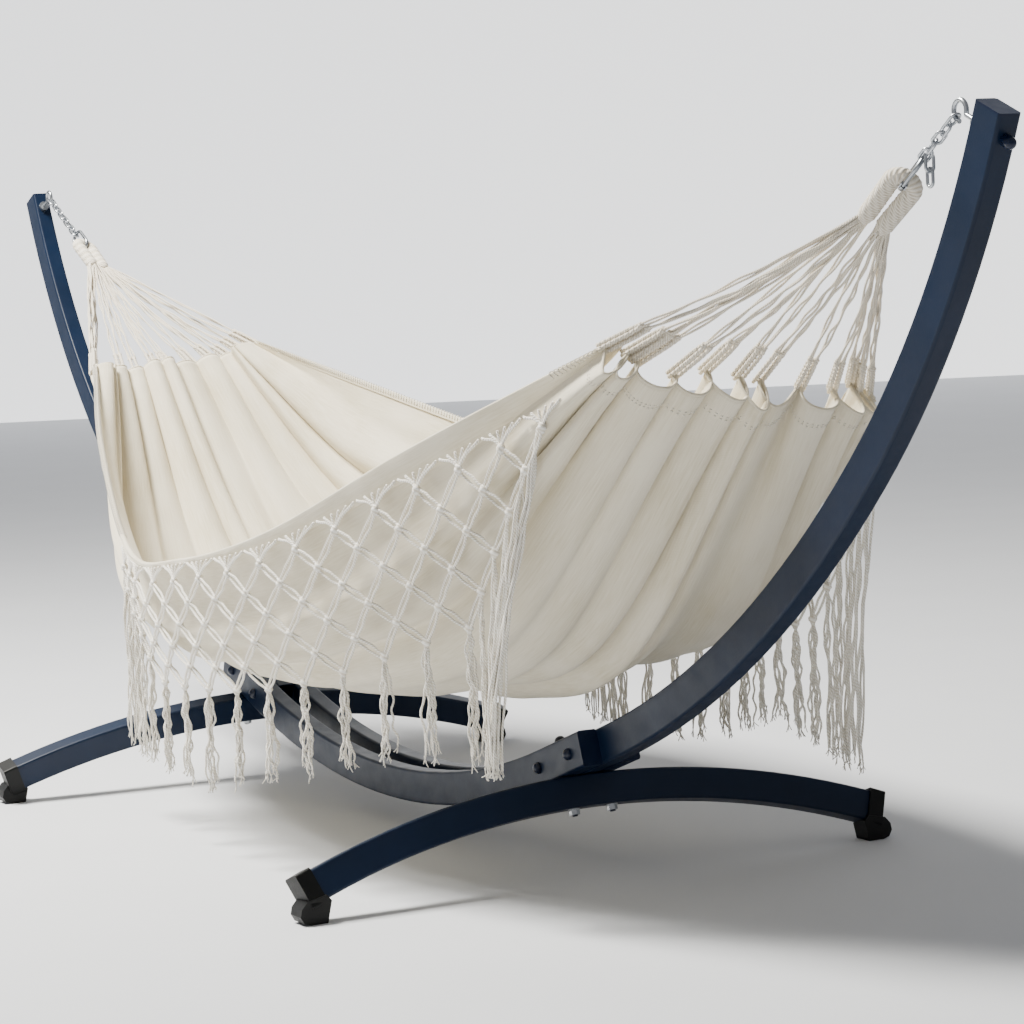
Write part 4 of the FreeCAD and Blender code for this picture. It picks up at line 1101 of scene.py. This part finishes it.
@dataclass(frozen=True)
class Studio:
    """A plain pale floor, soft light from above and the camera.

    Attributes:
        eye: where the camera stands.
        turn, tilt, lean: its angles, radians.
        lens: focal length on a 36 mm sensor, mm.
        floor: the floor's colour.
        screen: how brightly the backdrop glows.
    """

    eye: tuple[float, float, float] = (4.5098, -2.1353, 0.8916)
    turn: float = 1.0938
    tilt: float = -0.08433
    lean: float = -0.04701
    lens: float = 114.26
    floor: str = "#CED0D4"
    screen: float = 1.5

    def camera(self) -> None:
        """Sets the camera: forward from turn and tilt, then rolled by lean."""
        flat = math.cos(self.tilt)
        ahead = np.array([-math.sin(self.turn) * flat, math.cos(self.turn) * flat, math.sin(self.tilt)])
        level = np.array([math.cos(self.turn), math.sin(self.turn), 0.0])
        top = np.cross(level, ahead)
        right = math.cos(self.lean) * level + math.sin(self.lean) * top
        up = -math.sin(self.lean) * level + math.cos(self.lean) * top
        data = bpy.data.cameras.new("camera")
        data.lens = self.lens
        data.sensor_width = 36.0
        data.clip_end = 60.0
        made = bpy.data.objects.new("camera", data)
        bpy.context.scene.collection.objects.link(made)
        columns = np.stack([right, up, -ahead], 1)
        made.matrix_world = Matrix.Translation(self.eye) @ Matrix(columns.tolist()).to_4x4()
        bpy.context.scene.camera = made

    def light(self, name: str, place: tuple[float, float, float], aim: tuple[float, float, float],
              size: float, power: float, colour: str) -> None:
        """One square area lamp aimed at a point."""
        data = bpy.data.lights.new(name, "AREA")
        data.size = size
        data.energy = power
        data.color = linear(colour)[:3]
        made = bpy.data.objects.new(name, data)
        bpy.context.scene.collection.objects.link(made)
        back = unit(np.array(place) - np.array(aim))
        side = unit(np.cross(np.array([0.0, 1.0, 0.0]), back))
        columns = np.stack([side, np.cross(back, side), back], 1)
        made.matrix_world = Matrix.Translation(place) @ Matrix(columns.tolist()).to_4x4()

    def backdrop(self) -> None:
        """A glowing white screen far behind the object, square to the camera's heading."""
        ahead = np.array([-math.sin(self.turn), math.cos(self.turn), 0.0])
        level = np.array([math.cos(self.turn), math.sin(self.turn), 0.0])
        edges = np.array([-1.0, 1.0])
        heights = np.array([-0.05, 9.0])
        upward = np.array([0, 0, 1.0]) * heights[:, None, None]
        corners = ahead * 13.0 + level * edges[None, :, None] * 11.0 + upward
        material, tree, shader = fresh("lit_screen")
        glow = {"Emission Color": linear("#FDFEFF"), "Emission Strength": self.screen}
        feed(tree, shader, {"Base Color": linear("#FFFFFF"), **glow})
        screen = piece("backdrop", grid_surface(corners, corners[..., :2]), material)

    def build(self) -> None:
        """Floor, screen, world and lamps."""
        self.camera()
        material, tree, shader = fresh("matt_paper")
        place = add(tree, "ShaderNodeTexCoord").outputs["Object"]
        tone = blend(tree, noise(tree, place, 3.0), self.floor, "#D4D6DA")
        feed(tree, shader, {"Base Color": tone, "Roughness": 0.95, "Specular IOR Level": 0.1})
        corners = 14.0 * np.array([[[-1, -1, 0.0], [-1, 1, 0.0]], [[1, -1, 0.0], [1, 1, 0.0]]])
        ground = piece("floor", grid_surface(corners, corners[..., :2]), material)
        ground.data.flip_normals()
        self.backdrop()
        world = bpy.data.worlds.new("studio")
        world.use_nodes = True
        background = world.node_tree.nodes["Background"]
        background.inputs["Color"].default_value = linear("#FBFCFF")
        background.inputs["Strength"].default_value = 0.30
        bpy.context.scene.world = world
        self.light("key", (-1.2, -1.7, 4.3), (0.0, 0.0, 0.4), 1.4, 760.0, "#FFFCF4")
        self.light("front", (3.2, -4.6, 2.2), (0.0, 0.0, 0.5), 2.5, 8.0, "#FFFFFF")


def main() -> None:
    """Builds the pieces in order and reports each one."""
    logging.basicConfig(level=logging.INFO, format="%(name)s: %(message)s")
    Studio().build()
    Stand().dress()
    bed = Bed()
    canvas = Canvas("cotton_canvas_plain_weave").material()
    rope = Yarn("cotton_cord_three_ply").material()
    # The fringe yarn's second colour is painted shade, darker in the grooves between its plies.
    thread = Yarn("cotton_fringe_yarn", pale="#FBF8F0", groove_shade="#DDD4C2", plies=2, lay_mm=9.0).material()
    cloth = bed.sheet(canvas)
    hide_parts("fabric_bed")
    edging = Edging(bed)
    trims = [edging.roll(-1, canvas), edging.roll(1, canvas), edging.hem_rolls(canvas)]
    trims += [edging.hem_stitches(thread), edging.edge_stitches(thread)]
    for thing in [cloth, *trims]:
        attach(thing, "hammock")
        LOG.info("%s", thing.name)
    for right, slope, roll, arc_at in ((True, 33.7, 45.0, 0.1439), (False, 28.5, 20.0, 0.2107)):
        Suspension(bed, right, slope, roll, arc_at).build(rope)
    near = Fringe(edging, -1, 0.912, (0.068, 0.0024), (0.0417, 0.00095),
                  (0.40, 0.255, 0.125, 0.105, 0.150, 0.213, 0.188), seed=11)
    far = Fringe(edging, 1, 0.965, (0.085, 0.0), (0.0380, 0.0),
                 (0.40, 0.245, 0.150, 0.100, 0.135, 0.195, 0.160), gathered=0.5, seed=21)
    trims += near.build(thread) + far.build(thread)


if __name__ == "__main__":
    main()
